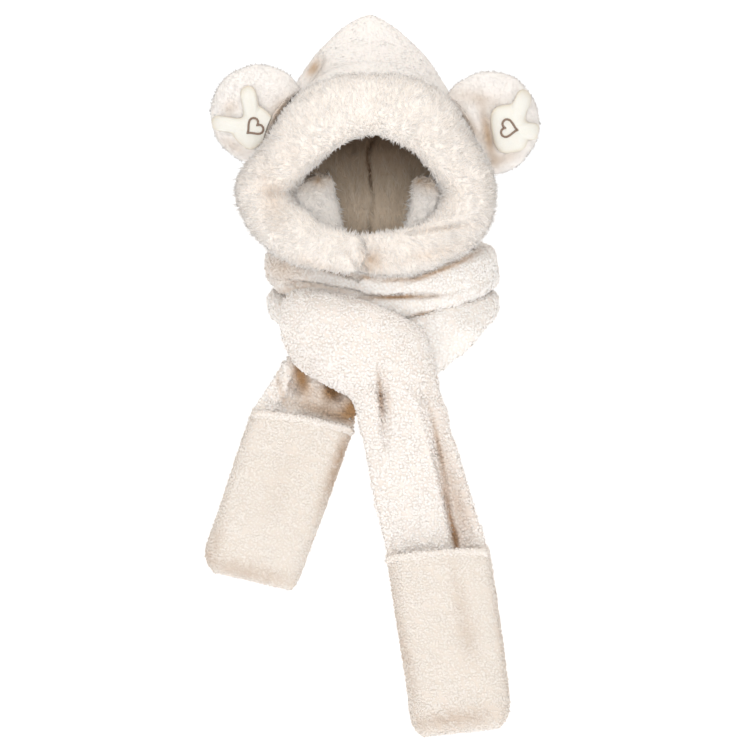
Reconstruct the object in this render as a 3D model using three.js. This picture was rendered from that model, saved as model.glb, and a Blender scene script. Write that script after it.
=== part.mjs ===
// A plush hooded scarf: a lined hood with a fluffy rolled brim and two round ears, a scarf wrapped
// round the neck and knotted once, and a hand pocket on each hanging end.
// Millimetres, +Z up, the face opening towards -Y, +X on the right as the front is seen.
// The origin is where the crown of a head touches the inside of the hood.

import * as THREE from "three";
import { mergeVertices } from "three/addons/utils/BufferGeometryUtils.js";

// Cloth thicknesses and the small gap between pieces that touch
const seatGap = 0.6;
const brimSeatGap = 1.8;
const hemGap = 1.2;
const hoodWall = 8;
const liningGap = 0.8;
const liningWall = 2.6;

// Neck wrap, an oval ring of folded scarf
const wrapCentreX = 14;
const wrapReachX = 145;
const wrapReachY = 128;
const wrapHalfThickness = 19;
const wrapCrease = { depth: 9, height: -0.34, spread: 0.17 };

// Hood side panels below their widest line
const sidePanel = { taper: 0.08, shiftX: 10, startsAt: 0.6 };
const fullHoodHalf = 130;

// Where the hood and its lining are sewn to the back of the brim, as degrees round the roll's section
const hoodSeat = { outside: 62, inside: 76 };
const liningSeat = { outside: 79, inside: 84 };

// Ears, round puffed pads with a soft dish in front. Their roots keep clear of the hood's side, which
// flares towards the brim by this many millimetres for each millimetre forwards.
const earHalfThickness = 20;
const earSeatGap = 1.8;
const hoodFlare = 0.6;
const earDish = { depth: 7, spread: 0.45 };
const earFullness = 2.6;
const ears = [
  { side: "left", x: -139, y: -32, z: -66, radius: 62, turn: -14 },
  { side: "right", x: 149, y: -32, z: -77, radius: 65, turn: 14 },
];

// Rabbit-shaped pads on the ears: a squarish head, and each long ear's direction, length and half width
const padThickness = 11;
const padSeatGap = 2.4;
const padClearOfHood = 6;
const padFullness = 4;
const padBlend = 9;
const headSquareness = 3.4;
const pads = [
  {
    side: "left",
    x: -141,
    z: -83,
    head: { half: 20, wide: 26, turn: 48 },
    longEars: [
      { direction: 99, length: 53, half: 12 },
      { direction: 175, length: 56, half: 12 },
    ],
  },
  {
    side: "right",
    x: 170,
    z: -84,
    head: { half: 22, wide: 30, turn: 98 },
    longEars: [
      { direction: 64, length: 53, half: 12 },
      { direction: -7, length: 42, half: 12 },
    ],
  },
];

// Hand pockets: a shallow tray of cloth sewn on the front of each scarf end
const pocketDepth = 23;
const pocketWall = 8;
const pocketSquareness = 8;

// Mesh fineness, counted in steps
const steps = { brim: 46, brimRound: 12, hoodAcross: 20, hoodAlong: 12, wrap: 32, wrapRound: 12 };
const overSteps = { perRow: 3, front: 14, back: 5 };
const underSteps = { perRow: 2, front: 14, back: 5 };
const facingSteps = { perRow: 2, front: 8, back: 4 };
const padSteps = { earRound: 20, earRings: 5, padRound: 36, padRings: 3 };
const pocketSteps = { across: 12, along: 9 };

// The brim's centre line from its left end at the chin, up and over the face, to its right end
const brimRows = table(["x", "y", "z", "half", "depth"], [
  [-8, -172, -239, 6, 6],
  [-22, -171, -236, 21, 17],
  [-54, -160, -230, 27, 22],
  [-90, -140, -217, 32, 27],
  [-121, -112, -191, 34, 31],
  [-131, -99, -156, 35, 33],
  [-104, -108, -120, 34, 34],
  [-60, -122, -71, 42, 34],
  [1, -128, -53, 39, 34],
  [61, -122, -69, 42, 34],
  [103, -108, -118, 34, 34],
  [121, -99, -156, 35, 33],
  [115, -112, -195, 34, 30],
  [86, -138, -221, 30, 25],
  [47, -148, -233, 30, 21],
  [8, -142, -236, 30, 16],
  [-18, -138, -235, 21, 13],
  [-30, -137, -234, 6, 5],
]);

// Hood sections from behind the brim to the seam down the back
const hoodRows = table(["y", "top", "widest", "half", "gable"], [
  [-44, -6, -128, 127, 1.0],
  [-14, 4, -128, 131, 1.1],
  [25, 26, -126, 131, 1.2],
  [68, 57, -122, 119, 1.25],
  [104, 24, -118, 90, 1.15],
  [126, -34, -114, 51, 1.0],
  [133, -84, -112, 0, 1.0],
]);

// Neck wrap heights round the neck: 0 is the front, 90 the right side, 180 the nape
const wrapRows = table(["top", "bottom", "flare"], [
  [-243, -315, 0],
  [-239, -299, 4],
  [-230, -280, 7],
  [-224, -267, 3],
  [-222, -261, 0],
  [-224, -267, 0],
  [-230, -281, 0],
  [-239, -299, 0],
]);

// Strands of scarf by their left and right edges. turn moves the right edge back and the left one
// forward, half is the half thickness, flat squares the section, bow bends both edges back, and two
// lengthwise folds have a place across and a depth.
const strandColumns = [
  "lx", "lz", "rx", "rz", "y", "turn", "half", "flat", "bow", "foldA", "deepA", "foldB", "deepB",
];

// The strand that comes out over the knot and hangs on the right
const overRows = table(strandColumns, [
  [-80, -281, 50, -325, -132, -4, 5, 2, 20, 0.3, 0, 0.6, 0],
  [-103, -288, 68, -336, -147, -8, 22, 2, 24, 0.3, 0, 0.6, 0],
  [-113, -314, 76, -354, -153, -9, 29, 2.2, 24, 0.3, 0, 0.6, 0],
  [-107, -351, 82, -376, -152, -8, 33, 2.4, 18, 0.2, 0, 0.6, 0],
  [-85, -383, 87, -399, -150, -5, 30, 2.6, 12, 0.05, 5, 0.58, 3],
  [-50, -401, 91, -419, -151, -2, 25, 3, 6, -0.15, 10, 0.56, 6],
  [-24, -416, 96, -436, -154, 0, 20, 4, 2, -0.37, 10, 0.5, 8],
  [-14, -449, 102, -459, -156, 0, 15, 5, 0, -0.46, 7, 0.5, 8],
  [-5, -492, 115, -499, -156, 0, 12, 6, 0, -0.5, 2, 0.5, 8],
  [6, -545, 130, -549, -156, 0, 10, 7, 0, -0.5, 0, 0.45, 7],
  [20, -609, 146, -600, -156, 0, 7, 16, 0, -0.5, 0, 0.33, 4],
  [32, -686, 158, -674, -156, 0, 7, 16, 0, -0.5, 0, 0.33, 0],
  [44, -761, 168, -749, -156, 0, 7, 16, 0, -0.5, 0, 0.33, 0],
  [52, -816, 172, -803, -156, 0, 7, 16, 0, -0.5, 0, 0.33, 0],
  [66, -835, 158, -825, -156, 0, 5, 16, 0, -0.5, 0, 0.33, 0],
]);

// The long strand that goes from behind the knot round the left side, the nape and the right side,
// passes under the knot and hangs on the left
const underRows = table(strandColumns, [
  [-34, -319, -36, -330, -102, 0, 4, 2, 0, -0.3, 0, 0.4, 0],
  [-72, -308, -72, -334, -90, 0, 12, 2.6, 0, -0.3, 0, 0.4, 0],
  [-106, -296, -104, -329, -50, 0, 14, 3, 0, -0.3, 0, 0.4, 0],
  [-112, -283, -112, -318, 8, 0, 15, 3, 0, -0.3, 0, 0.4, 0],
  [-76, -271, -76, -306, 78, 0, 15, 3, 0, -0.3, 0, 0.4, 0],
  [14, -264, 14, -300, 108, 0, 15, 3, 0, -0.3, 0, 0.4, 0],
  [104, -270, 104, -307, 76, 0, 15, 3, 0, -0.3, 0, 0.4, 0],
  [144, -283, 148, -318, 8, 0, 15, 3, 0, -0.3, 0, 0.4, 0],
  [128, -295, 144, -332, -52, 0, 15, 3, 0, -0.3, 0, 0.4, 0],
  [76, -306, 128, -352, -88, 0, 16, 3, 0, -0.3, 0, 0.4, 0],
  [19, -320, 87, -386, -98, 0, 16, 3, 0, -0.3, 0, 0.4, 0],
  [-41, -338, 44, -414, -98, 0, 16, 3, 0, -0.3, 3, 0.4, 3],
  [-87, -354, 6, -428, -100, 0, 16, 3, 0, -0.35, 6, 0.35, 6],
  [-110, -374, -16, -438, -103, 0, 16, 4, 0, -0.4, 9, 0.35, 9],
  [-127, -401, -20, -446, -108, 0, 13, 5, 0, -0.42, 9, 0.38, 9],
  [-144, -430, -20, -452, -109, 0, 7, 8, 0, -0.42, 5, 0.4, 5],
  [-164, -484, -40, -510, -109, 0, 7, 16, 0, -0.42, 0, 0.4, 0],
  [-185, -549, -66, -582, -109, 0, 7, 16, 0, -0.42, 0, 0.4, 0],
  [-204, -608, -88, -640, -109, 0, 7, 16, 0, -0.42, 0, 0.4, 0],
  [-194, -634, -98, -656, -109, 0, 5, 16, 0, -0.42, 0, 0.4, 0],
]);

// The fluffy facing folded into each side of the face opening, from its foot up to its top
const facingLeftRows = table(strandColumns, [
  [-44, -226, -26, -216, -107, 4, 4, 2, 0, 0, 0, 0, 0],
  [-72, -228, -32, -208, -94, 8, 12, 2.2, 0, 0, 0, 0, 0],
  [-92, -206, -36, -190, -81, 14, 13, 2.4, 0, 0, 0, 0, 0],
  [-101, -178, -40, -166, -70, 16, 13, 2.4, 0, 0, 0, 0, 0],
  [-99, -158, -46, -144, -66, 16, 11, 2.2, 0, 0, 0, 0, 0],
  [-86, -148, -60, -138, -65, 10, 4, 2, 0, 0, 0, 0, 0],
]);
const facingRightRows = table(strandColumns, [
  [32, -214, 50, -224, -112, -4, 4, 2, 0, 0, 0, 0, 0],
  [42, -206, 74, -226, -99, -8, 12, 2.2, 0, 0, 0, 0, 0],
  [48, -188, 86, -204, -86, -14, 13, 2.4, 0, 0, 0, 0, 0],
  [52, -166, 90, -176, -73, -16, 13, 2.4, 0, 0, 0, 0, 0],
  [54, -146, 88, -156, -69, -16, 11, 2.2, 0, 0, 0, 0, 0],
  [64, -140, 82, -146, -70, -10, 4, 2, 0, 0, 0, 0, 0],
]);

// The pockets cover these stretches of the strands, counted in rows
const pockets = [
  { side: "left", rows: underRows, first: 15, last: 18.85 },
  { side: "right", rows: overRows, first: 10, last: 13.85 },
];

const foldSpread = 0.12;

const colours = {
  pile: { color: 0xf3e8dd, roughness: 1, metalness: 0 },
  brim: { color: 0xf6eee5, roughness: 1, metalness: 0 },
  pocket: { color: 0xefe3d6, roughness: 1, metalness: 0 },
  lining: { color: 0xb3a596, roughness: 1, metalness: 0 },
  pad: { color: 0xf3f1e6, roughness: 0.9, metalness: 0 },
};

function table(columns, rows) {
  return rows.map((row) => Object.fromEntries(columns.map((name, index) => [name, row[index]])));
}

// A smooth curve through four values, at a fraction of the way from the second to the third
function smoothValue(fraction, a, b, c, d) {
  const startSlope = (c - a) / 2;
  const endSlope = (d - b) / 2;
  const square = fraction * fraction;
  const cube = square * fraction;
  return (
    (2 * cube - 3 * square + 1) * b +
    (cube - 2 * square + fraction) * startSlope +
    (3 * square - 2 * cube) * c +
    (cube - square) * endSlope
  );
}

// Four neighbours round a place in a list, where the place counts entries and may be a fraction
function neighbours(count, place, loops) {
  const last = count - 1;
  const index = loops ? Math.floor(place) : Math.min(Math.max(Math.floor(place), 0), last - 1);
  const wrapped = (k) => (loops ? ((k % count) + count) % count : Math.min(Math.max(k, 0), last));
  return { fraction: place - index, around: [index - 1, index, index + 1, index + 2].map(wrapped) };
}

function rowAt(rows, place, loops = false) {
  const { fraction, around } = neighbours(rows.length, place, loops);
  const result = {};
  for (const name of Object.keys(rows[0])) {
    result[name] = smoothValue(fraction, ...around.map((k) => rows[k][name]));
  }
  return result;
}

function pointAt(points, place) {
  const { fraction, around } = neighbours(points.length, place, false);
  const mix = (axis) => smoothValue(fraction, ...around.map((k) => points[k][axis]));
  return new THREE.Vector3(mix("x"), mix("y"), mix("z"));
}

const signedPower = (value, power) => Math.sign(value) * Math.abs(value) ** power;
const bell = (distance, spread) => Math.exp(-((distance / spread) ** 2));

// Triangles from points, with those that have no area left out
function solidFrom(triangles) {
  const positions = [];
  for (const corners of triangles) {
    const [a, b, c] = corners;
    const tiny = 1e-4;
    if (a.distanceTo(b) > tiny && b.distanceTo(c) > tiny && c.distanceTo(a) > tiny) {
      corners.forEach((corner) => positions.push(corner.x, corner.y, corner.z));
    }
  }
  const geometry = new THREE.BufferGeometry();
  geometry.setAttribute("position", new THREE.Float32BufferAttribute(positions, 3));
  const merged = mergeVertices(geometry, 1e-4);
  merged.computeVertexNormals();
  return merged;
}

function strip(rowA, rowB, closed) {
  const triangles = [];
  const count = rowA.length;
  for (let i = 0; i < (closed ? count : count - 1); i += 1) {
    const next = (i + 1) % count;
    triangles.push([rowA[i], rowA[next], rowB[next]]);
    triangles.push([rowA[i], rowB[next], rowB[i]]);
  }
  return triangles;
}

const flipped = (triangles) => triangles.map(([a, b, c]) => [a, c, b]);

function fan(ring) {
  const centre = ring.reduce((sum, point) => sum.add(point), new THREE.Vector3());
  centre.divideScalar(ring.length);
  return ring.map((point, i) => [centre, ring[(i + 1) % ring.length], point]);
}

// A closed solid through rings of points, with flat ends, or joined end to end where it loops
function tubeSolid(rings, loops = false) {
  const triangles = [];
  for (let i = 0; i + 1 < rings.length; i += 1) {
    triangles.push(...strip(rings[i], rings[i + 1], true));
  }
  if (loops) {
    triangles.push(...strip(rings[rings.length - 1], rings[0], true));
  } else {
    triangles.push(...fan(rings[0]));
    triangles.push(...flipped(fan(rings[rings.length - 1])));
  }
  return solidFrom(triangles);
}

// A wall between an outer and an inner sheet of points. The last row may be a seam where the sheet's
// two halves meet, which needs no edge.
function wallSolid(outer, inner, lastRowIsSeam) {
  const triangles = [];
  for (let i = 0; i + 1 < outer.length; i += 1) {
    triangles.push(...strip(outer[i], outer[i + 1], false));
    triangles.push(...flipped(strip(inner[i], inner[i + 1], false)));
  }
  const end = outer[0].length - 1;
  triangles.push(...flipped(strip(outer[0], inner[0], false)));
  triangles.push(...strip(outer.map((row) => row[0]), inner.map((row) => row[0]), false));
  triangles.push(...flipped(strip(outer.map((row) => row[end]), inner.map((row) => row[end]), false)));
  if (!lastRowIsSeam) {
    triangles.push(...strip(outer[outer.length - 1], inner[inner.length - 1], false));
  }
  return solidFrom(triangles);
}

const sequence = (count) => Array.from({ length: count + 1 }, (unused, i) => i / count);

// A point on the brim roll: an oval section square to the centre line
function brimPoint(place, degrees, grow = 0) {
  const row = rowAt(brimRows, place);
  const before = rowAt(brimRows, place - 0.05);
  const after = rowAt(brimRows, place + 0.05);
  const outward = new THREE.Vector3(before.z - after.z, 0, after.x - before.x).normalize();
  const angle = THREE.MathUtils.degToRad(degrees);
  const across = (row.half + grow) * Math.cos(angle);
  const back = (row.depth + grow) * Math.sin(angle);
  return new THREE.Vector3(row.x, row.y + back, row.z).addScaledVector(outward, across);
}

function brimGeometry() {
  const last = brimRows.length - 1;
  const rings = sequence(steps.brim).map((share) =>
    sequence(steps.brimRound)
      .slice(0, -1)
      .map((turn) => brimPoint(share * last, -turn * 360)),
  );
  return tubeSolid(rings);
}

// The brim's own place for a place across the hood: -1 low on the left, 0 at the top, 1 low on the right
function brimPlace(across) {
  const left = [2.5, 5, 8];
  const right = [13.5, 11, 8];
  const [low, side, top] = across < 0 ? left : right;
  const height = Math.abs(across);
  if (height < sidePanel.startsAt) {
    return top + (side - top) * (height / sidePanel.startsAt);
  }
  return side + (low - side) * ((height - sidePanel.startsAt) / (1 - sidePanel.startsAt));
}

function wrapRow(angle) {
  const turn = THREE.MathUtils.radToDeg(angle) / 360;
  return rowAt(wrapRows, turn * wrapRows.length, true);
}

// A point on one hood section: a soft gable above its widest line, and side panels below it that
// stop just over the neck wrap
function hoodSectionPoint(row, across, inset) {
  const side = Math.sign(across);
  const height = Math.abs(across);
  const backness = 1 - row.half / fullHoodHalf;
  const half = Math.max(0, row.half - inset * Math.min(1, (row.half * 4) / fullHoodHalf));
  const y = row.y - inset * Math.max(0, backness);
  if (height <= sidePanel.startsAt) {
    const angle = (height / sidePanel.startsAt) * (Math.PI / 2);
    const rise = row.top - inset - row.widest;
    const x = side * half * Math.sin(angle) ** row.gable;
    return new THREE.Vector3(x, y, row.widest + rise * Math.max(0, Math.cos(angle)) ** row.gable);
  }
  const down = (height - sidePanel.startsAt) / (1 - sidePanel.startsAt);
  const panelShift = sidePanel.shiftX * Math.min(1, (row.half * 4) / fullHoodHalf);
  const x = side * half * (1 - sidePanel.taper * down * down) + panelShift * down;
  const hem = wrapRow(Math.atan2(x - wrapCentreX, -y)).top + hemGap;
  return new THREE.Vector3(x, y, THREE.MathUtils.lerp(row.widest, hem, down));
}

// A sheet of the hood, set in from its outside by the inset, starting on the brim at the given angle
function hoodSheet(inset, seatDegrees) {
  const lastPlace = hoodRows.length;
  const columns = sequence(steps.hoodAcross).map((share) => {
    const across = share * 2 - 1;
    const seat = brimPoint(brimPlace(across), seatDegrees, brimSeatGap);
    return [seat, ...hoodRows.map((row) => hoodSectionPoint(row, across, inset))];
  });
  return sequence(steps.hoodAlong).map((share) => {
    return columns.map((points) => pointAt(points, share * lastPlace));
  });
}

function hoodGeometry() {
  return wallSolid(hoodSheet(0, hoodSeat.outside), hoodSheet(hoodWall, hoodSeat.inside), true);
}

function liningGeometry() {
  const outerInset = hoodWall + liningGap;
  const outer = hoodSheet(outerInset, liningSeat.outside);
  return wallSolid(outer, hoodSheet(outerInset + liningWall, liningSeat.inside), true);
}

// A point on the neck wrap: an upright oval section with a crease between its two rolls
function wrapPoint(turn, round) {
  const angle = turn * Math.PI * 2;
  const row = wrapRow(angle);
  const halfHeight = (row.top - row.bottom) / 2;
  const rise = signedPower(Math.sin(round), 0.8);
  const outness = signedPower(Math.cos(round), 0.7);
  const crease = outness > 0 ? wrapCrease.depth * bell(rise - wrapCrease.height, wrapCrease.spread) : 0;
  const flare = row.flare * Math.max(0, -rise);
  const out = wrapHalfThickness * (outness - 1) - crease + flare;
  const x = wrapCentreX + (wrapReachX + out) * Math.sin(angle);
  const y = -(wrapReachY + out) * Math.cos(angle);
  return new THREE.Vector3(x, y, row.bottom + halfHeight * (1 + rise));
}

function wrapGeometry() {
  const rings = sequence(steps.wrap)
    .slice(0, -1)
    .map((turn) =>
      sequence(steps.wrapRound)
        .slice(0, -1)
        .map((share) => wrapPoint(turn, -share * Math.PI * 2)),
    );
  return tubeSolid(rings, true);
}

// The middle, width and facing direction of a strand at a place along it
function strandFrame(rows, place) {
  const row = rowAt(rows, place);
  const before = rowAt(rows, place - 0.1);
  const after = rowAt(rows, place + 0.1);
  const middle = (r) => new THREE.Vector3((r.lx + r.rx) / 2, r.y, (r.lz + r.rz) / 2);
  const along = middle(after).sub(middle(before)).normalize();
  const width = new THREE.Vector3((row.rx - row.lx) / 2, row.turn, (row.rz - row.lz) / 2);
  const facing = along.clone().cross(width).normalize();
  return { row, middle: middle(row), width, facing };
}

// A point on a strand: across runs from -1 on its left edge to 1 on its right edge, and front is 1
// on the side that faces forwards or -1 behind. Two lengthwise folds sink into the front.
function strandPoint(rows, place, across, front) {
  const { row, middle, width, facing } = strandFrame(rows, place);
  const fullness = Math.sqrt(Math.max(0, 1 - Math.abs(across) ** row.flat));
  const firstFold = row.deepA * bell(across - row.foldA, foldSpread);
  const secondFold = row.deepB * bell(across - row.foldB, foldSpread);
  const frontHalf = row.half - firstFold - secondFold;
  const rise = front > 0 ? frontHalf * fullness : -row.half * fullness;
  const point = middle.addScaledVector(width, across).addScaledVector(facing, rise);
  return point.add(new THREE.Vector3(0, row.bow * across * across, 0));
}

function strandGeometry(rows, { perRow, front, back }) {
  const last = rows.length - 1;
  const acrossAt = (share) => (Math.cos(share * Math.PI) + 1 - 2 * share) / 2;
  const rings = sequence(last * perRow).map((share) => {
    const place = share * last;
    const frontSide = sequence(front).map((s) => strandPoint(rows, place, acrossAt(s), 1));
    const backSide = sequence(back)
      .slice(1, -1)
      .map((s) => strandPoint(rows, place, -acrossAt(s), -1));
    return [...frontSide, ...backSide];
  });
  return tubeSolid(rings);
}

// A hand pocket: a tray of cloth whose open back lies flat on the strand and whose top is open
function pocketGeometry({ rows, first, last }) {
  const mouth = strandFrame(rows, first);
  const foot = strandFrame(rows, last);
  const halfWidth = foot.width.length();
  const length = mouth.middle.distanceTo(foot.middle);
  const backY = mouth.middle.y - mouth.row.half - seatGap;
  const sheet = (wall) =>
    sequence(pocketSteps.along).map((down) =>
      sequence(pocketSteps.across).map((share) => {
        const across = Math.cos(share * Math.PI);
        const sides = Math.sqrt(Math.max(0, 1 - Math.abs(across) ** pocketSquareness));
        const end = Math.sqrt(Math.max(0, 1 - down ** (2 * pocketSquareness)));
        const place = first + (last - first) * down * (1 - wall / length);
        const { middle, width } = strandFrame(rows, place);
        const point = middle.addScaledVector(width, across * (1 - wall / halfWidth));
        return point.setY(backY - (pocketDepth - wall) * sides * end);
      }),
    );
  return wallSolid(sheet(0), sheet(pocketWall), false);
}

// The hood's half width on the side of a point, as far out as a pad's root has to stay clear of it
function hoodSurfaceX(y, z) {
  const place = hoodRows.findIndex((row, i) => i + 1 < hoodRows.length && hoodRows[i + 1].y > y);
  const share = (y - hoodRows[place].y) / (hoodRows[place + 1].y - hoodRows[place].y);
  const row = rowAt(hoodRows, Math.max(0, place + share));
  const flare = hoodFlare * Math.max(0, hoodRows[0].y - y);
  const height = (z - row.widest) / (row.top - row.widest);
  if (height >= 1) {
    return 0;
  }
  const narrowing = height <= 0 ? 1 : Math.sqrt(1 - height ** (2 / row.gable)) ** row.gable;
  return row.half * narrowing + flare;
}

// A point on an ear: rings of a disc, thick in the middle and dished in front
function earPoint(ear, radiusShare, direction, front, clearOfHood = earSeatGap) {
  const profile = earHalfThickness * Math.sqrt(Math.max(0, 1 - radiusShare ** earFullness));
  const dish = front > 0 ? earDish.depth * bell(radiusShare, earDish.spread) : 0;
  const local = new THREE.Vector3(
    Math.cos(direction) * radiusShare * ear.radius,
    -front * (profile - dish),
    Math.sin(direction) * radiusShare * ear.radius,
  );
  const point = local.applyAxisAngle(new THREE.Vector3(0, 0, 1), THREE.MathUtils.degToRad(ear.turn));
  point.add(new THREE.Vector3(ear.x, ear.y, ear.z));
  const side = Math.sign(ear.x);
  const clear = hoodSurfaceX(point.y, point.z) + clearOfHood;
  if (side * point.x < clear) {
    point.x = side * clear;
  }
  return point;
}

// A closed pad from rings that grow from a middle point in front, over the rim, to one behind
function padSolid(frontRings, backRings, frontMiddle, backMiddle) {
  const rings = [...frontRings, ...backRings.slice(0, -1).reverse()];
  const triangles = [];
  for (let i = 0; i + 1 < rings.length; i += 1) {
    triangles.push(...strip(rings[i], rings[i + 1], true));
  }
  const first = rings[0];
  const last = rings[rings.length - 1];
  triangles.push(...first.map((point, i) => [frontMiddle, first[(i + 1) % first.length], point]));
  triangles.push(...last.map((point, i) => [backMiddle, point, last[(i + 1) % last.length]]));
  return solidFrom(triangles);
}

function earGeometry(ear) {
  const directions = sequence(padSteps.earRound).slice(0, -1);
  const ring = (share, front) => directions.map((turn) => earPoint(ear, share, -turn * Math.PI * 2, front));
  const shares = sequence(padSteps.earRings).slice(1);
  const spaced = shares.map((share) => Math.sin((share * Math.PI) / 2));
  return padSolid(
    spaced.map((share) => ring(share, 1)),
    spaced.map((share) => ring(share, -1)),
    earPoint(ear, 0, 0, 1),
    earPoint(ear, 0, 0, -1),
  );
}

// How far a long ear reaches in a direction this far off its own: to its side, or to its round tip
function longEarReach({ length, half }, off) {
  const tipCentre = length - half;
  const away = Math.abs(Math.sin(off));
  if (Math.cos(off) <= 0) {
    return 0;
  }
  if (Math.abs(Math.tan(off)) < half / tipCentre) {
    return tipCentre * Math.cos(off) + Math.sqrt(half ** 2 - (tipCentre * away) ** 2);
  }
  return half / away;
}

// How far a head's outline lies from its middle, as a turned rectangle with rounded sides
function headReach(head, direction) {
  const turned = direction - THREE.MathUtils.degToRad(head.turn);
  const wideShare = Math.abs(Math.cos(turned) / head.wide) ** headSquareness;
  const halfShare = Math.abs(Math.sin(turned) / head.half) ** headSquareness;
  return (wideShare + halfShare) ** (-1 / headSquareness);
}

// How far a pad's outline lies from its middle: a head softly joined to two long ears
function padReach(pad, direction) {
  const reaches = pad.longEars.map((longEar) =>
    longEarReach(longEar, direction - THREE.MathUtils.degToRad(longEar.direction)),
  );
  const sum = [headReach(pad.head, direction), ...reaches].reduce(
    (total, reach) => total + reach ** padBlend,
    0,
  );
  return sum ** (1 / padBlend);
}

// The front of an ear below a place given in the frame's X and Z, as a point
function earFront(ear, x, z) {
  const turn = THREE.MathUtils.degToRad(ear.turn);
  const flatX = (x - ear.x) / Math.cos(turn);
  const flatZ = z - ear.z;
  const share = Math.min(0.96, Math.hypot(flatX, flatZ) / ear.radius);
  return earPoint(ear, share, Math.atan2(flatZ, flatX), 1, padClearOfHood);
}

function padGeometry(pad, ear) {
  const directions = sequence(padSteps.padRound)
    .slice(0, -1)
    .map((turn) => -turn * Math.PI * 2);
  const place = (share, direction, lift) => {
    const reach = padReach(pad, direction) * share;
    const base = earFront(ear, pad.x + Math.cos(direction) * reach, pad.z + Math.sin(direction) * reach);
    return base.add(new THREE.Vector3(0, -lift, 0));
  };
  const thick = (share) => padSeatGap + padThickness * Math.sqrt(Math.max(0, 1 - share ** padFullness));
  const shares = sequence(padSteps.padRings)
    .slice(1)
    .map((share) => Math.sin((share * Math.PI) / 2));
  const front = shares.map((share) => directions.map((d) => place(share, d, thick(share))));
  const back = shares.map((share) => directions.map((d) => place(share, d, padSeatGap)));
  return padSolid(front, back, place(0, 0, thick(0)), place(0, 0, padSeatGap));
}

const group = new THREE.Group();

function addPiece(name, geometry, look) {
  const mesh = new THREE.Mesh(geometry, new THREE.MeshStandardMaterial(look));
  mesh.name = name;
  group.add(mesh);
}

addPiece("hood_shell", hoodGeometry(), colours.pile);
addPiece("hood_lining", liningGeometry(), colours.lining);
addPiece("brim_roll", brimGeometry(), colours.brim);
ears.forEach((ear, index) => {
  addPiece(`ear_${ear.side}`, earGeometry(ear), colours.pile);
  addPiece(`ear_patch_${ear.side}`, padGeometry(pads[index], ear), colours.pad);
});
addPiece("neck_wrap", wrapGeometry(), colours.pile);
addPiece("scarf_over_strand", strandGeometry(overRows, overSteps), colours.pile);
addPiece("scarf_under_strand", strandGeometry(underRows, underSteps), colours.pile);
addPiece("facing_left", strandGeometry(facingLeftRows, facingSteps), colours.brim);
addPiece("facing_right", strandGeometry(facingRightRows, facingSteps), colours.brim);
pockets.forEach((pocket) => addPiece(`pocket_${pocket.side}`, pocketGeometry(pocket), colours.pocket));

export default group;
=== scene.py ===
import math
import bmesh
import bpy
import numpy as np
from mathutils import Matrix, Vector


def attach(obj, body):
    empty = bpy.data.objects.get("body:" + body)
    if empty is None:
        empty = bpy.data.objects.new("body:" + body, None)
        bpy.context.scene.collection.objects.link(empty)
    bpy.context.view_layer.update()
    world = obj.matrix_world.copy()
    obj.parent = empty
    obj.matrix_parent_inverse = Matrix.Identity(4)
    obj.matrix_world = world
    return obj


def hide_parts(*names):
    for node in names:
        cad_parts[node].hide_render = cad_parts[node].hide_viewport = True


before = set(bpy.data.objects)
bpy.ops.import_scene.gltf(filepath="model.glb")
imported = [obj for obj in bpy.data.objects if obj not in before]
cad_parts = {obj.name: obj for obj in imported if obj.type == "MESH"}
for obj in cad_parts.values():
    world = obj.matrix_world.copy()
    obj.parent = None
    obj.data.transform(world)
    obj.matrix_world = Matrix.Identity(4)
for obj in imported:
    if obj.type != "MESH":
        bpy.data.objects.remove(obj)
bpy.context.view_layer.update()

mm = 0.001  # every shape below is in millimetres until it becomes a mesh
print("frame loaded,", len(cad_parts), "cloth nodes")


# Reading short tables of sections

def table(columns, rows):
    # Each named column of the table becomes one array.
    return dict(zip(columns.split(), np.array(rows, float).T))


def smoothPlaces(count, place, loops=False):
    # The four neighbours of each fractional place in a list, and the weights of the smooth curve
    # through them: the cubic whose slope at an entry is half the step between its two neighbours.
    place = np.asarray(place, float)
    first = np.floor(place) if loops else np.clip(np.floor(place), 0, count - 2)
    t = place - first
    index = first.astype(int)[..., None] + np.arange(-1, 3)
    index = index % count if loops else np.clip(index, 0, count - 1)
    t2, t3 = t * t, t * t * t
    weights = np.stack([(-t3 + 2 * t2 - t) / 2, (3 * t3 - 5 * t2 + 2) / 2,
                        (-3 * t3 + 4 * t2 + t) / 2, (t3 - t2) / 2], -1)
    return index, weights


def rowAt(rows, place, loops=False):
    # Every column of a table at fractional places.
    index, weights = smoothPlaces(len(next(iter(rows.values()))), place, loops)
    return {name: (column[index] * weights).sum(-1) for name, column in rows.items()}


def signedPower(value, power):
    # A power that keeps its value's sign.
    return np.sign(value) * np.abs(value) ** power


def bell(distance, spread):
    # The bell curve, 1 in its middle: e to minus the square of distance over spread.
    return np.exp(-(distance / spread) ** 2)


def unit(vectors):
    # Vectors brought to a length of 1.
    return vectors / np.maximum(np.linalg.norm(vectors, axis=-1, keepdims=True), 1e-9)


def joined(x, y, z):
    # Three coordinates, each of any matching shape, as one array of points.
    return np.stack(np.broadcast_arrays(x, y, z), -1).astype(float)


# Seeded noise on points, so that neighbouring pieces never repeat

def cornerValue(corner, seed):
    # A number from 0 to 1 for each whole-number corner, by mixing its three coordinates.
    mixed = (corner[..., 0] * 73856093) ^ (corner[..., 1] * 19349663) ^ (corner[..., 2] * 83492791)
    mixed = (mixed ^ (seed * 26544357)) & 0x7FFFFFFF
    mixed = ((mixed ^ (mixed >> 13)) * 1274126177) & 0x7FFFFFFF
    mixed = ((mixed ^ (mixed >> 15)) * 668265263) & 0x7FFFFFFF
    return ((mixed ^ (mixed >> 11)) & 0xFFFF) / 65535.0


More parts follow.
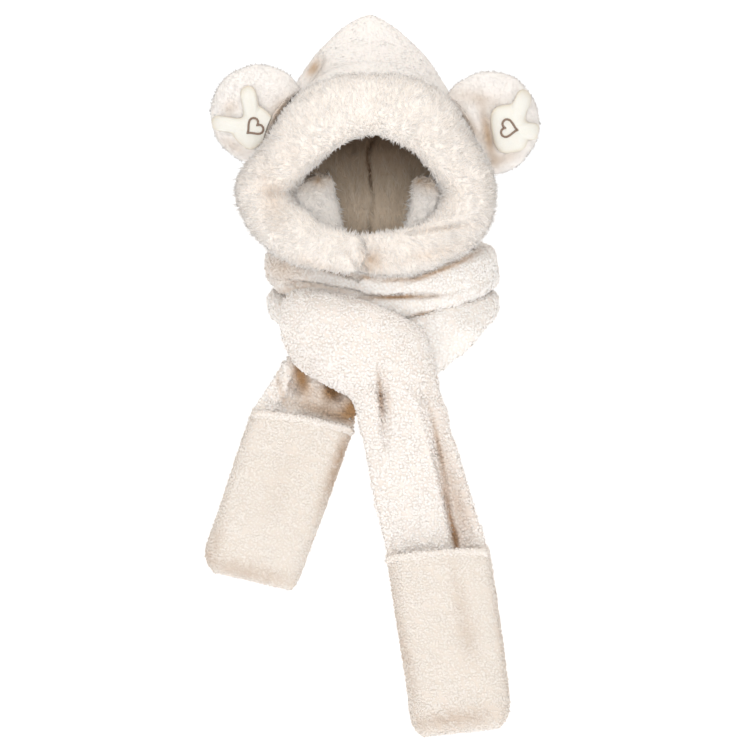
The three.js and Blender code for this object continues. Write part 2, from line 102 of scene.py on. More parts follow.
def softNoise(points, size, seed):
    # Smooth noise from -1 to 1 whose lumps are one size across: corner values blended by smoothstep.
    place = points / size
    corner = np.floor(place).astype(np.int64)
    t = place - corner
    t = t * t * (3 - 2 * t)
    total = 0
    for step in np.ndindex(2, 2, 2):
        share = np.prod(np.where(np.array(step), t, 1 - t), axis=-1)
        total = total + share * cornerValue(corner + np.array(step), seed)
    return total * 2 - 1


def nubField(points, size, seed):
    # Round nubs about one size apart: how close each point is to the nearest scattered centre, from 0
    # between nubs to 1 at a centre, and the way to that centre.
    place = points / size
    corner = np.floor(place).astype(np.int64)
    nearest, second = np.full(place.shape[:-1], 9.0), np.full(place.shape[:-1], 9.0)
    toward = np.zeros(place.shape)
    for step in np.ndindex(3, 3, 3):
        cell = corner + np.array(step) - 1
        way = cell + np.stack([cornerValue(cell, seed + k) for k in range(3)], -1) - place
        distance = np.linalg.norm(way, axis=-1)
        closer = distance < nearest
        second = np.where(closer, nearest, np.minimum(second, distance))
        nearest = np.where(closer, distance, nearest)
        toward = np.where(closer[..., None], way, toward)
    return np.clip((second - nearest) * 2.2, 0, 1), toward * size


# Turning grids of points into meshes

def gridNormals(grid, loops, inside=None):
    # The normal of each grid point is the cross product of its two tangents, turned so that the
    # normals as a whole point away from the inside: one point, or the middle of each ring.
    along = np.gradient(grid, axis=0)
    if loops:
        around = (np.roll(grid, -1, axis=1) - np.roll(grid, 1, axis=1)) / 2
    else:
        around = np.gradient(grid, axis=1)
    normals = unit(np.cross(around, along))
    inside = grid.mean(axis=1, keepdims=True) if inside is None else np.array(inside, float)
    return normals * np.sign(((grid - inside) * normals).sum(-1).mean())


def gridFaces(rows, columns, loops, start=0):
    # A quad for each pair of neighbours down and across. A grid that loops closes its last column.
    down, side = np.meshgrid(np.arange(rows - 1), np.arange(columns if loops else columns - 1), indexing="ij")
    following = (side + 1) % columns
    quads = np.stack([down * columns + side, down * columns + following,
                      (down + 1) * columns + following, (down + 1) * columns + side], -1)
    return quads.reshape(-1, 4) + start


def capFaces(ring, middle):
    # A fan of triangles from a middle point to a closed ring of point numbers.
    return np.stack([np.full(len(ring), middle), np.roll(ring, -1), ring], -1)


def tubeParts(grid, bulge=0.0):
    # A tube through closed rings, with a fan at each end whose middle stands out by the bulge.
    rows, columns = grid.shape[:2]
    ends = []
    for edge, inside in ((0, 1), (-1, -2)):
        middle = grid[edge].mean(0)
        ends.append(middle + unit(middle - grid[inside].mean(0)) * bulge)
    points = np.concatenate([grid.reshape(-1, 3), ends])
    last = rows * columns
    first = capFaces(np.arange(columns), last)
    final = capFaces(np.arange(columns) + (rows - 1) * columns, last + 1)[:, ::-1]
    return points, gridFaces(rows, columns, True), np.concatenate([first, final])


def ringParts(grid):
    # A tube whose last ring joins its first.
    rows, columns = grid.shape[:2]
    quads = gridFaces(rows + 1, columns, True)
    return grid.reshape(-1, 3), quads % (rows * columns), np.empty((0, 3), int)


def wallParts(outer, inner):
    # A wall between two sheets of points, closed along all four edges.
    rows, columns = outer.shape[:2]
    count = rows * columns
    points = np.concatenate([outer.reshape(-1, 3), inner.reshape(-1, 3)])
    quads = [gridFaces(rows, columns, False), gridFaces(rows, columns, False, count)[:, ::-1]]
    number = np.arange(count).reshape(rows, columns)
    for edge in (number[0][::-1], number[:, 0], number[-1], number[:, -1][::-1]):
        quads.append(np.stack([edge[:-1], edge[1:], edge[1:] + count, edge[:-1] + count], -1)[:, ::-1])
    return points, np.concatenate(quads), np.empty((0, 3), int)


def newMesh(name, points, quads, triangles, values, normals=None):
    # One mesh from whole arrays. values are point attributes, and a normal of length 0 stays as it is.
    mesh = bpy.data.meshes.new(name)
    mesh.vertices.add(len(points))
    mesh.vertices.foreach_set("co", (points * mm).astype(np.float32).ravel())
    mesh.loops.add(quads.size + triangles.size)
    corners = np.concatenate([quads.ravel(), triangles.ravel()])
    mesh.loops.foreach_set("vertex_index", corners.astype(np.int32))
    starts = [np.arange(len(quads)) * 4, quads.size + np.arange(len(triangles)) * 3]
    mesh.polygons.add(len(quads) + len(triangles))
    mesh.polygons.foreach_set("loop_start", np.concatenate(starts).astype(np.int32))
    mesh.polygons.foreach_set("use_smooth", np.ones(len(mesh.polygons), bool))
    mesh.update(calc_edges=True)
    for key, numbers in values.items():
        attribute = mesh.attributes.new(key, "FLOAT", "POINT")
        attribute.data.foreach_set("value", np.asarray(numbers, np.float32))
    if normals is not None:
        mesh.normals_split_custom_set_from_vertices(normals.astype(np.float32))
    return mesh


def facingOut(points, quads, triangles):
    # Faces turned round where the closed shape's volume, the sum of its triangle wedges, is negative.
    halves = np.concatenate([quads[:, [0, 1, 2]], quads[:, [0, 2, 3]], triangles])
    a, b, c = (points[halves[:, k]] for k in range(3))
    if np.einsum("ij,ij->i", a, np.cross(b, c)).sum() < 0:
        return quads[:, ::-1], triangles[:, ::-1]
    return quads, triangles


# Pile

def scattered(rng, grid, normals, loops, lean, spacing, keep):
    # Random places on a grid, as many in each cell as its area holds at the spacing, with the normal
    # and the combed direction there.
    rows, columns = grid.shape[:2]
    number = np.arange(rows * columns).reshape(rows, columns)
    right = np.roll(number, -1, axis=1) if loops else number[:, 1:]
    left = number if loops else number[:, :-1]
    corners = np.stack([left[:-1], right[:-1], right[1:], left[1:]], -1).reshape(-1, 4)
    points = grid.reshape(-1, 3)
    a, b, c, d = (points[corners[:, k]] for k in range(4))
    halves = np.cross(b - a, d - a), np.cross(b - c, d - c)
    area = (np.linalg.norm(halves[0], axis=1) + np.linalg.norm(halves[1], axis=1)) / 2
    wanted = area / spacing ** 2
    if keep is not None:
        wanted = wanted * keep.reshape(-1)[corners].mean(1)
    cell = np.repeat(np.arange(len(corners)), np.floor(wanted + rng.random(len(wanted))).astype(int))
    u, v = rng.random((2, len(cell), 1))
    weights = np.concatenate([(1 - u) * (1 - v), u * (1 - v), u * v, (1 - u) * v], 1)[..., None]
    place = (points[corners[cell]] * weights).sum(1)
    normal = unit((normals.reshape(-1, 3)[corners[cell]] * weights).sum(1))
    comb = (lean.reshape(-1, 3)[corners[cell]] * weights).sum(1)
    return place, normal, comb


slanted = np.array([[0.79, -0.36, 0.50], [0.53, 0.81, -0.25], [-0.32, 0.46, 0.83]])  # about a turned cube
middleTone = 0.5  # the tone of cloth between its tufts
streakSize = 5.0


def grownNubs(grid, normals, loops, lean, keep, pile, seed):
    # Rounded nubs of curly fleece, spread without a pattern: of many random places, the one nearest a
    # random point of each small cube of turned space. A nub is a closed blob of one sunk point, a ring
    # and a tilted crown.
    rng = np.random.default_rng(seed)
    size, sides = pile["nub"], 5
    spacing = size / 2.4  # about six random places for each nub
    place, normal, comb = scattered(rng, grid, normals, loops, lean, spacing, keep)
    turned = (place + softNoise(place[:, [1, 2, 0]], 9.0, seed + 3)[:, None] * size) @ slanted / size
    cube = np.floor(turned).astype(np.int64)
    aim = 0.5 + 0.5 * (np.stack([cornerValue(cube, seed + k) for k in range(3)], -1) - 0.5)
    off = np.linalg.norm(turned - cube - aim, axis=1)
    order = np.argsort(off, kind="stable")
    _, first = np.unique(cube[order], axis=0, return_index=True)
    chosen = np.sort(order[first])
    place, normal, comb = place[chosen], normal[chosen], comb[chosen]
    count = len(place)
    loose = rng.normal(size=place.shape)
    side = unit(np.cross(normal, loose))
    other = np.cross(normal, side)
    scale = rng.uniform(0.75, 1.2, (count, 1, 1))
    scale = scale * (1 + 0.15 * softNoise(place, pile["clump"], seed + 9))[:, None, None]
    angle = np.arange(sides)[None, :] * 2 * math.pi / sides + rng.uniform(-0.35, 0.35, (count, sides))
    ring = side[:, None] * np.cos(angle)[..., None] + other[:, None] * np.sin(angle)[..., None] * 0.8
    swell = rng.uniform(0.8, 1.2, (count, sides, 1))
    tall = pile["tall"] * scale
    rim = place[:, None] + ring * (pile["wide"] * size * scale * swell) + normal[:, None] * (tall * 0.3)
    tilt = unit(loose - normal * (loose * normal).sum(1, keepdims=True)) * pile["tilt"] + comb * pile["comb"]
    crown = place[:, None] + normal[:, None] * tall + tilt[:, None] * size * 0.3
    foot = place[:, None] - normal[:, None] * pile["sink"]
    points = np.concatenate([rim, crown, foot], 1).reshape(-1, 3)
    step = np.arange(sides)
    after = (step + 1) % sides
    shape = np.concatenate([np.stack([step, after, np.full(sides, sides)], 1),
                            np.stack([after, step, np.full(sides, sides + 1)], 1)])
    faces = ((np.arange(count) * (sides + 2))[:, None, None] + shape).reshape(-1, 3)
    soft = pile["softness"]
    shade = np.concatenate([unit(ring * (1 - soft) + normal[:, None] * soft),
                            unit(normal + tilt * 0.5)[:, None], -normal[:, None]], 1).reshape(-1, 3)
    # The pile value is 0 at a nub's foot, about half at its ring and 1 at its crown, for painted shade low in
    # the pile.
    height = np.tile([0.45] * sides + [1.0, 0.0], count)
    tone = np.repeat(rng.random(count), sides + 2)
    return points, faces, shade, {"pile": height, "tone": tone, "facing": np.repeat(normal[:, 1], sides + 2)}


def grownPile(grid, normals, loops, lean, keep, pile, seed):
    # Tufts over a grid. A tuft is a closed three-sided spike whose root sinks under the cloth and
    # whose tip leans as combed. Where the pile has nubs, they take the tufts' place.
    if "nub" in pile:
        return grownNubs(grid, normals, loops, lean, keep, pile, seed)
    rng = np.random.default_rng(seed)
    place, normal, comb = scattered(rng, grid, normals, loops, lean, pile["spacing"], keep)
    swirl = np.stack([softNoise(place, pile["clump"], seed + k) for k in (11, 12, 13)], -1)
    loose = rng.normal(size=place.shape)
    # Tufts lean together into curls, and stand lower between two curls.
    stretched = place - comb * ((place * comb).sum(1, keepdims=True) * pile["stroke"])
    crown, toward = nubField(stretched, pile["curl"], seed + 31)
    toward = toward / pile["curl"] * pile["gather"]
    way = normal * pile["rise"] + comb * pile["comb"] + swirl * pile["swirl"] + loose * pile["loose"] + toward
    outwards = (way * normal).sum(1, keepdims=True)
    way = unit(way + normal * np.maximum(0, 0.25 - outwards))  # no tuft points into the cloth
    lengths = softNoise(place, pile["clump"] * 0.7, seed + 21) * 0.2 + rng.uniform(0.75, 1.15, len(place))
    lengths = lengths * (0.6 + 0.5 * crown)
    length = (pile["length"] * lengths)[:, None]
    side = unit(np.cross(way, unit(loose)))
    other = np.cross(way, side)
    root = place - normal * pile["sink"]
    tip = root + way * length
    turn = rng.random((len(place), 1)) * 2 * math.pi + np.arange(3) * 2 * math.pi / 3
    ring = side[:, None] * np.cos(turn)[..., None] + other[:, None] * np.sin(turn)[..., None]
    base = root[:, None] + ring * pile["width"] / 2
    tuftPoints = np.concatenate([base, tip[:, None]], 1).reshape(-1, 3)
    start = (np.arange(len(place)) * 4)[:, None, None]
    faces = (start + np.array([[0, 1, 3], [1, 2, 3], [2, 0, 3], [2, 1, 0]])).reshape(-1, 3)
    soft = pile["softness"]
    shade = np.concatenate([unit(ring * (1 - soft) + normal[:, None] * soft),
                            unit(way * (1 - soft) + normal * soft)[:, None]], 1).reshape(-1, 3)
    # The pile value runs from 0 at the root to 1 at the tip, for the roots' painted shade.
    height = np.tile([0.0, 0.0, 0.0, 1.0], len(place))
    # A tuft's tone is partly random and partly painted shade: higher, and so darker, where the tuft stands low
    # between two curls.
    tone = np.repeat(np.clip(rng.random(len(place)) * 0.45 + (1 - crown) * 0.75 - 0.1, 0, 1), 4)
    return tuftPoints, faces, shade, {"pile": height, "tone": tone, "facing": np.repeat(normal[:, 1], 4)}


def furryPiece(name, parts, ground, pile, seed, spots=()):
    # A closed cloth shape with its pile grown on it, all in one mesh. The ground is the grid under the
    # pile, its normals, whether it loops, the combed directions and the share of the pile that is kept.
    points, quads, triangles = parts
    quads, triangles = facingOut(points, quads, triangles)
    tufts, faces, tuftNormals, tuftValues = grownPile(*ground, pile, seed)
    whole = np.concatenate([points, tufts])
    facing = ground[1].reshape(-1, 3)[:len(points), 1]
    # The cloth between the tufts takes the pile's cloth value, and with it part of the roots' painted shade.
    cloth = {"pile": np.full(len(points), pile["cloth"]), "tone": np.full(len(points), middleTone),
             "facing": np.concatenate([facing, np.zeros(len(points) - len(facing))])}
    values = {key: np.concatenate([numbers, tuftValues[key]]) for key, numbers in cloth.items()}
    values["shade"] = streaked(whole, spots, pile, seed, 0.0, values.pop("facing"))
    mesh = newMesh(name, whole, quads, np.concatenate([triangles, faces + len(points)]), values,
                   np.concatenate([np.zeros_like(points), tuftNormals]))
    return addPiece(name, mesh)


def addPiece(name, mesh):
    # The finished mesh as an object on the one body.
    piece = bpy.data.objects.new(name, mesh)
    bpy.context.scene.collection.objects.link(piece)
    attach(piece, "root")
    print(name, "made,", len(mesh.loops) - 2 * len(mesh.polygons), "triangles")
    return piece


def clothPiece(name, parts, values, spots=(), behind=0.0):
    # A closed cloth shape with no pile of its own. Points that lie together are merged.
    points, quads, triangles = parts
    quads, triangles = facingOut(points, quads, triangles)
    mesh = newMesh(name, points, quads, triangles, {**values, "shade": spotted(points, spots, behind)})
    merged = bmesh.new()
    merged.from_mesh(mesh)
    bmesh.ops.remove_doubles(merged, verts=merged.verts, dist=0.00002)
    bmesh.ops.recalc_face_normals(merged, faces=merged.faces)
    merged.to_mesh(mesh)
    merged.free()
    return addPiece(name, mesh)


def pilePiece(name, ground, pile, seed, spots=(), behind=0.0):
    # Pile alone, as a piece of its own on a sheet of cloth. Spots that start further back don't fade
    # with the way that the cloth faces.
    points, faces, normals, values = grownPile(*ground, pile, seed)
    facing = values.pop("facing")
    values["shade"] = streaked(points, spots, pile, seed, behind, None if behind else facing)
    mesh = newMesh(name, points, np.empty((0, 4), int), faces, values, normals)
    return addPiece(name, mesh)


def plainCloth(sheet, pile):
    # The same pile height and tone all over both sides of a wall of cloth.
    count = sheet.shape[0] * sheet.shape[1] * 2
    return {"pile": np.full(count, pile["cloth"]), "tone": np.full(count, middleTone)}


def finished(piece, nodes, material):
    # The CAD nodes that the piece stands for hidden, and its material added.
    if nodes:
        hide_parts(*nodes)
    piece.data.materials.append(material)
    return piece


# Soft dents pressed into a piece

narrowDent = 3.0  # a dent narrower than this on one side parts the pile


def fromLine(grid, x0, z0, x1, z1):
    # How far each point is from a line in the front view, and whether it lies to the line's right.
    start, way = np.array([x0, z0]), np.array([x1 - x0, z1 - z0])
    flat = grid[..., [0, 2]] - start
    share = np.clip((flat @ way) / (way @ way), 0, 1)[..., None]
    distance = np.linalg.norm(flat - share * way, axis=-1)
    return distance, way[0] * flat[..., 1] - way[1] * flat[..., 0] > 0


def pressed(grid, normals, dents):
    # Each dent is a line in the front view, x0 z0 to x1 z1, with a depth, its width on the left and
    # its width on the right. A point that faces forwards sinks along its normal by the depth times a
    # bell of its distance from the line.
    moved = grid.copy()
    front = np.clip(-normals[..., 1] * 2 + 0.4, 0, 1)
    for *line, depth, leftWidth, rightWidth in dents:
        distance, onRight = fromLine(grid, *line)
        sunk = depth * bell(distance, np.where(onRight, rightWidth, leftWidth))
        moved -= normals * (sunk * front)[..., None]
    return moved


def parted(grid, normals, dents, keep):
    # Pile parts along the bottom of each narrow dent that faces forwards.
    share = np.broadcast_to(keep, grid.shape[:-1]).astype(float)
    for *line, _, leftWidth, rightWidth in dents:
        if min(leftWidth, rightWidth) < narrowDent:
            beside = np.clip(fromLine(grid, *line)[0] / 1.6 - 1.3, 0, 1)
            share = share * np.where(normals[..., 1] < 0, beside, 1)
    return share


def spotted(points, spots, behind=0.0, facing=None):
    # Painted shade, warm in colour, in creases, recesses, folds and under other parts, at each point: soft oval
    # spots, each with its middle x and z, its half width and half height, its turn in degrees and its strength.
    # They fade out further back, and where facing, the y of the cloth's normal, turns away from the front.
    shade = np.zeros(points.shape[:-1])
    for x, z, wide, high, turn, strength in spots:
        angle = math.radians(turn)
        dx, dz = points[..., 0] - x, points[..., 2] - z
        along = (dx * math.cos(angle) + dz * math.sin(angle)) / wide
        up = (dz * math.cos(angle) - dx * math.sin(angle)) / high
        shade = shade + strength * np.exp(-(along ** 2 + up ** 2))
    front = np.clip(0.5 - (points[..., 1] - behind) / 40, 0, 1)
    if facing is not None:
        front = front * np.clip(0.6 - facing * 1.6, 0, 1)
    return np.clip(shade * front, 0, 1)


def streaked(points, spots, pile, seed, behind=0.0, facing=None):
    # The painted shade of the spots, made uneven by soft noise where the pile is streaked.
    shade = spotted(points, spots, behind, facing)
    return shade * (1 + pile.get("streaks", 0.0) * softNoise(points, streakSize, seed))


def fadedEdges(steps, sideRate, endRate):
    # A share of 1 that falls to 0 along both sides of a sheet and its last row, each at its own rate.
    across = np.abs(np.linspace(-1, 1, steps[1]))[None, :]
    along = np.linspace(0, 1, steps[0])[:, None]
    return np.clip((1 - across) * sideRate, 0, 1) * np.clip((1 - along) * endRate, 0, 1)


def roughened(grid, loops, cloth, seed, inside=None, share=1.0):
    # Soft lumps and fine nubs pushed along the normals, and the whole cloth set in under its pile.
    normals = gridNormals(grid, loops, inside)
    shift = -cloth["setIn"] + cloth["lumps"] * softNoise(grid, cloth["lumpSize"], seed)
    shift = shift + cloth["nubs"] * (nubField(grid, cloth["nubSize"], seed + 5)[0] - 0.5)
    moved = grid + normals * (shift * share)[..., None]
    return moved, gridNormals(moved, loops, inside)


# Materials

def newMaterial(name):
    # An empty material, and the parts of it that its maker works on.
    material = bpy.data.materials.new(name)
    material.use_nodes = True
    nodes, links = material.node_tree.nodes, material.node_tree.links
    return material, nodes, links, nodes["Principled BSDF"]


def setSockets(node, values):
    # Plain values, each on the node's own socket.
    for socket, value in values.items():
        node.inputs[socket].default_value = value


def stored(nodes, key):
    # One of the piece's point attributes.
    node = nodes.new("ShaderNodeAttribute")
    node.attribute_name = key
    return node.outputs["Fac"]


def addBump(nodes, links, shader, height, strength, distance):
    # A fine bump from a height, on the shader's normal.
    bump = nodes.new("ShaderNodeBump")
    setSockets(bump, {"Strength": strength, "Distance": distance})
    links.new(height, bump.inputs["Height"])
    links.new(bump.outputs["Normal"], shader.inputs["Normal"])


def socketMix(nodes, links, factor, first, second):
    # A blend of two colours, where a socket is linked and a plain value is set.
    mix = nodes.new("ShaderNodeMix")
    mix.data_type = "RGBA"
    for socket, value in ((mix.inputs[0], factor), (mix.inputs[6], first), (mix.inputs[7], second)):
        if isinstance(value, bpy.types.NodeSocket):
            links.new(value, socket)
        else:
            socket.default_value = value
    return mix.outputs[2]


def plushMaterial(name, look):
    # Pile colour runs from a root darkened with painted shade to the tip, with broad warm patches, a tone for
    # each tuft, painted shade where the shade value is high, and a fine bump.
    material, nodes, links, shader = newMaterial(name)
    place = nodes.new("ShaderNodeTexCoord").outputs["Object"]

    def noise(scale, detail):
        # Noise on the piece's own coordinates.
        node = nodes.new("ShaderNodeTexNoise")
        setSockets(node, {"Scale": scale, "Detail": detail})
        links.new(place, node.inputs["Vector"])
        return node.outputs["Fac"]

    def ranged(value, low, high, top):
        # A value stretched so that low gives 0 and high gives the top.
        node = nodes.new("ShaderNodeMapRange")
        setSockets(node, {"From Min": low, "From Max": high, "To Min": 0.0, "To Max": top})
        links.new(value, node.inputs["Value"])
        return node.outputs["Result"]

    # Roots are darker than tips: painted shade low in the pile, where the tufts shade each other.
    colour = socketMix(nodes, links, stored(nodes, "pile"), look["root"], look["tip"])
    patches = ranged(noise(look["patchScale"], 3.0), 0.45, 0.72, look["patchShare"])
    colour = socketMix(nodes, links, patches, colour, look["patch"])
    tone = ranged(stored(nodes, "tone"), 0.0, 1.0, look["toneShare"])
    colour = socketMix(nodes, links, tone, colour, look["deep"])
    grain = ranged(noise(look["grainScale"], 2.0), 0.35, 0.7, look["grainShare"])
    colour = socketMix(nodes, links, grain, colour, look["deep"])
    # The shade value mixes in the look's shaded colour: painted shade.
    colour = socketMix(nodes, links, stored(nodes, "shade"), colour, look["shaded"])
    links.new(colour, shader.inputs["Base Color"])
    addBump(nodes, links, shader, noise(look["grainScale"] * 1.5, 3.0), look["bump"], 0.0012)
    setSockets(shader, {"Roughness": 0.95, "Specular IOR Level": 0.1, "Sheen Weight": look["sheen"],
                        "Sheen Roughness": 0.6, "Subsurface Weight": look["glow"],
                        "Subsurface Radius": (0.006, 0.004, 0.003), "Subsurface Scale": 1.0})
    return material


# In each look, root is a darker colour painted as shade low in the pile, and shaded is the colour of the
# painted shade in creases and under other parts.
plushLook = {
    "root": (0.73, 0.66, 0.605, 1), "tip": (0.865, 0.84, 0.82, 1), "patch": (0.85, 0.81, 0.77, 1),
    "deep": (0.80, 0.74, 0.69, 1), "shaded": (0.36, 0.22, 0.125, 1), "patchScale": 26.0, "patchShare": 0.35,
    "toneShare": 0.25, "grainScale": 420.0, "grainShare": 0.12, "bump": 0.3, "sheen": 0.1, "glow": 0.12,
}
# The scarf's plush painted lighter, as painted light, for the wrap in the brim's shade and for the under
# strand. The over strand keeps the base plush, painted a little darker where the lamps light it fully.
litScarfLook = {**plushLook, "tip": (0.96, 0.95, 0.935, 1), "root": (0.83, 0.76, 0.70, 1),
              "patch": (0.92, 0.89, 0.86, 1), "shaded": (0.42, 0.25, 0.125, 1)}
smoothLook = {**plushLook, "toneShare": 0.06, "tip": (0.86, 0.825, 0.795, 1), "root": (0.82, 0.775, 0.735, 1),
              "patch": (0.86, 0.82, 0.785, 1), "deep": (0.82, 0.78, 0.74, 1), "shaded": (0.48, 0.36, 0.26, 1),
              "grainShare": 0.05}
brimLook = {**plushLook, "tip": (0.955, 0.95, 0.945, 1), "root": (0.79, 0.72, 0.655, 1), "patchScale": 34.0,
            "patch": (0.92, 0.885, 0.85, 1), "patchShare": 0.5, "toneShare": 0.55,
            "deep": (0.85, 0.775, 0.705, 1), "shaded": (0.52, 0.34, 0.20, 1)}
# The brim's fleece painted lighter on the facings, as painted light standing in for the light that the brim
# shades from them inside the face opening.
facingLitLook = {**brimLook, "tip": (1.0, 0.99, 0.975, 1), "root": (0.93, 0.89, 0.85, 1), "toneShare": 0.35,
              "shaded": (0.40, 0.28, 0.18, 1)}
pocketLook = {**plushLook, "tip": (0.79, 0.745, 0.70, 1), "root": (0.66, 0.585, 0.515, 1), "patchShare": 0.3,
              "toneShare": 0.3, "patch": (0.76, 0.705, 0.655, 1), "deep": (0.69, 0.615, 0.545, 1)}
hemLook = {**pocketLook, "tip": (0.84, 0.80, 0.765, 1), "root": (0.72, 0.65, 0.59, 1)}
# The lining's shaded colour is the painted shade under the hood's crown.
liningLook = {**plushLook, "tip": (1.0, 0.93, 0.82, 1), "root": (0.92, 0.78, 0.62, 1), "glow": 0.0,
              "patch": (0.98, 0.87, 0.72, 1), "deep": (0.48, 0.35, 0.22, 1), "shaded": (0.13, 0.08, 0.045, 1),
              "toneShare": 0.5}
# Two of these are lighter copies of a fabric, painted light for the scarf parts and the facings that lie in
# shade.
plush = plushMaterial("nubby plush", plushLook)
litScarfPlush = plushMaterial("scarf plush painted lighter", litScarfLook)
smoothPlush = plushMaterial("smooth plush", smoothLook)
brimFleece = plushMaterial("fluffy brim fleece", brimLook)
facingLitFleece = plushMaterial("facing fleece painted lighter", facingLitLook)
pocketPlush = plushMaterial("short pocket plush", pocketLook)
hemPlush = plushMaterial("hem plush", hemLook)
liningFleece = plushMaterial("lining fleece", liningLook)


def velourMaterial():
    # Smooth off-white velour: a very fine grain in colour and bump, and painted shade round its rim, where the
    # padded edge turns away from the light.
    material, nodes, links, shader = newMaterial("patch velour")
    grain = nodes.new("ShaderNodeTexNoise")
    setSockets(grain, {"Scale": 700.0})
    links.new(nodes.new("ShaderNodeTexCoord").outputs["Object"], grain.inputs["Vector"])
    colour = socketMix(nodes, links, grain.outputs["Fac"], (0.68, 0.67, 0.625, 1), (0.74, 0.735, 0.69, 1))
    # The rim colour is painted shade along the patch's edge.
    colour = socketMix(nodes, links, stored(nodes, "rim"), colour, (0.60, 0.54, 0.43, 1))
    links.new(colour, shader.inputs["Base Color"])
    addBump(nodes, links, shader, grain.outputs["Fac"], 0.35, 0.0006)
    setSockets(shader, {"Roughness": 0.8, "Sheen Weight": 0.2, "Subsurface Weight": 0.15,
                        "Subsurface Radius": (0.004, 0.003, 0.002)})
    return material


def threadMaterial():
    # Brown embroidery thread, with a painted highlight along the crown of each stitch.
    material, nodes, links, shader = newMaterial("brown thread")
    colour = socketMix(nodes, links, stored(nodes, "crown"), (0.10, 0.06, 0.045, 1), (0.26, 0.18, 0.13, 1))
    links.new(colour, shader.inputs["Base Color"])
    setSockets(shader, {"Roughness": 0.6, "Sheen Weight": 0.3})
    return material


velour = velourMaterial()
thread = threadMaterial()
print("materials made")


# Brim: a fat fluffy roll round the face opening, from its low left end up and over to its low right end

brim = {
    "rows": table("x y z half depth", [
        (-6, -172, -239, 10, 7), (-22, -171, -237, 25, 18), (-54, -160, -231, 27, 22),
        (-90, -140, -217, 32, 27), (-121, -112, -191, 34, 31), (-131, -99, -156, 35, 33),
        (-104, -108, -120, 34, 34), (-60, -122, -71, 42, 34), (1, -128, -53, 39, 34),
        (61, -122, -69, 42, 34), (103, -108, -118, 34, 34), (121, -99, -156, 35, 33),
        (115, -112, -195, 34, 30), (86, -138, -221, 30, 25), (47, -148, -234, 29, 21),
        (8, -142, -238, 28, 16), (-18, -138, -235, 21, 13), (-30, -137, -234, 6, 5)]),
    "steps": (270, 64),
    "cloth": {"setIn": 2.0, "lumps": 1.8, "lumpSize": 20.0, "nubs": 1.0, "nubSize": 6.0},
    "pile": {"spacing": 2.3, "length": 8.5, "width": 2.0, "sink": 0.8, "rise": 0.6, "comb": 0.75,
             "swirl": 0.6, "loose": 0.22, "clump": 10.0, "softness": 0.35, "cloth": 0.1,
             "curl": 7.5, "gather": 0.6, "stroke": 0.75, "streaks": 0.6},
    "faceMiddle": (0.0, -165.0),
    "dents": [(49, -207, 120, -199, 4, 4, 4), (-27, -234, -10, -258, 5, 4, 5)],
    # Painted shade, warm in colour, on the brim's left side, at the chin where its ends overlap and along its
    # lower edge.
    "spots": [(-122, -165, 14, 36, 10, 0.26), (-95, -110, 20, 14, 40, 0.1), (1, -246, 13, 12, 0, 0.55),
              (70, -240, 44, 8, 14, 0.24), (95, -206, 36, 3, 5, 0.25), (-70, -250, 34, 7, -20, 0.2)],
}


def brimPoint(place, degrees, grow=0.0):
    # An oval section square to the centre line: half times the cosine outwards and depth times the
    # sine backwards.
    row = rowAt(brim["rows"], place)
    before, after = rowAt(brim["rows"], place - 0.05), rowAt(brim["rows"], place + 0.05)
    outward = unit(joined(before["z"] - after["z"], 0, after["x"] - before["x"]))
    angle = np.radians(degrees)
    back = joined(0, (row["depth"] + grow) * np.sin(angle), 0)
    out = outward * ((row["half"] + grow) * np.cos(angle))[..., None]
    return joined(row["x"], row["y"], row["z"]) + out + back


def awayFrom(grid, normals, middle):
    # Combed away from a middle point in the front view, laid along the cloth.
    away = grid - np.array([middle[0], 0, middle[1]])
    away[..., 1] = 0
    away = unit(away)
    return unit(away - normals * (away * normals).sum(-1, keepdims=True))


def laidAlong(normals, way):
    # One direction laid along the cloth.
    way = np.broadcast_to(np.array(way, float), normals.shape)
    return unit(way - normals * (way * normals).sum(-1, keepdims=True))


def makeBrim():
    # The section carried from one end to the other, dented and roughened, and combed away from the
    # middle of the face opening.
    along, around = brim["steps"]
    place = np.linspace(0, 17, along)[:, None]
    degrees = np.arange(around)[None, :] * 360 / around
    grid = brimPoint(place, degrees)
    normals = gridNormals(grid, True)
    grid = pressed(grid, normals, brim["dents"])
    grid, normals = roughened(grid, True, brim["cloth"], 3)
    lean = awayFrom(grid, normals, brim["faceMiddle"])
    # Beside the facings the inner tufts stand straight out over them.
    away = unit(grid - [brim["faceMiddle"][0], grid[..., 1].mean(), brim["faceMiddle"][1]])
    inner = np.clip(-(normals * away).sum(-1) * 2, 0, 1) * np.clip((-140 - grid[..., 2]) / 20, 0, 1)
    lean = lean + (normals * 0.9 - lean) * inner[..., None]
    piece = furryPiece("brim", tubeParts(grid, 2.0), (grid, normals, True, lean, None), brim["pile"], 31,
                       brim["spots"])
    return finished(piece, ["brim_roll"], brimFleece)


# Hood: a gabled shell behind the brim, with a seam down the back

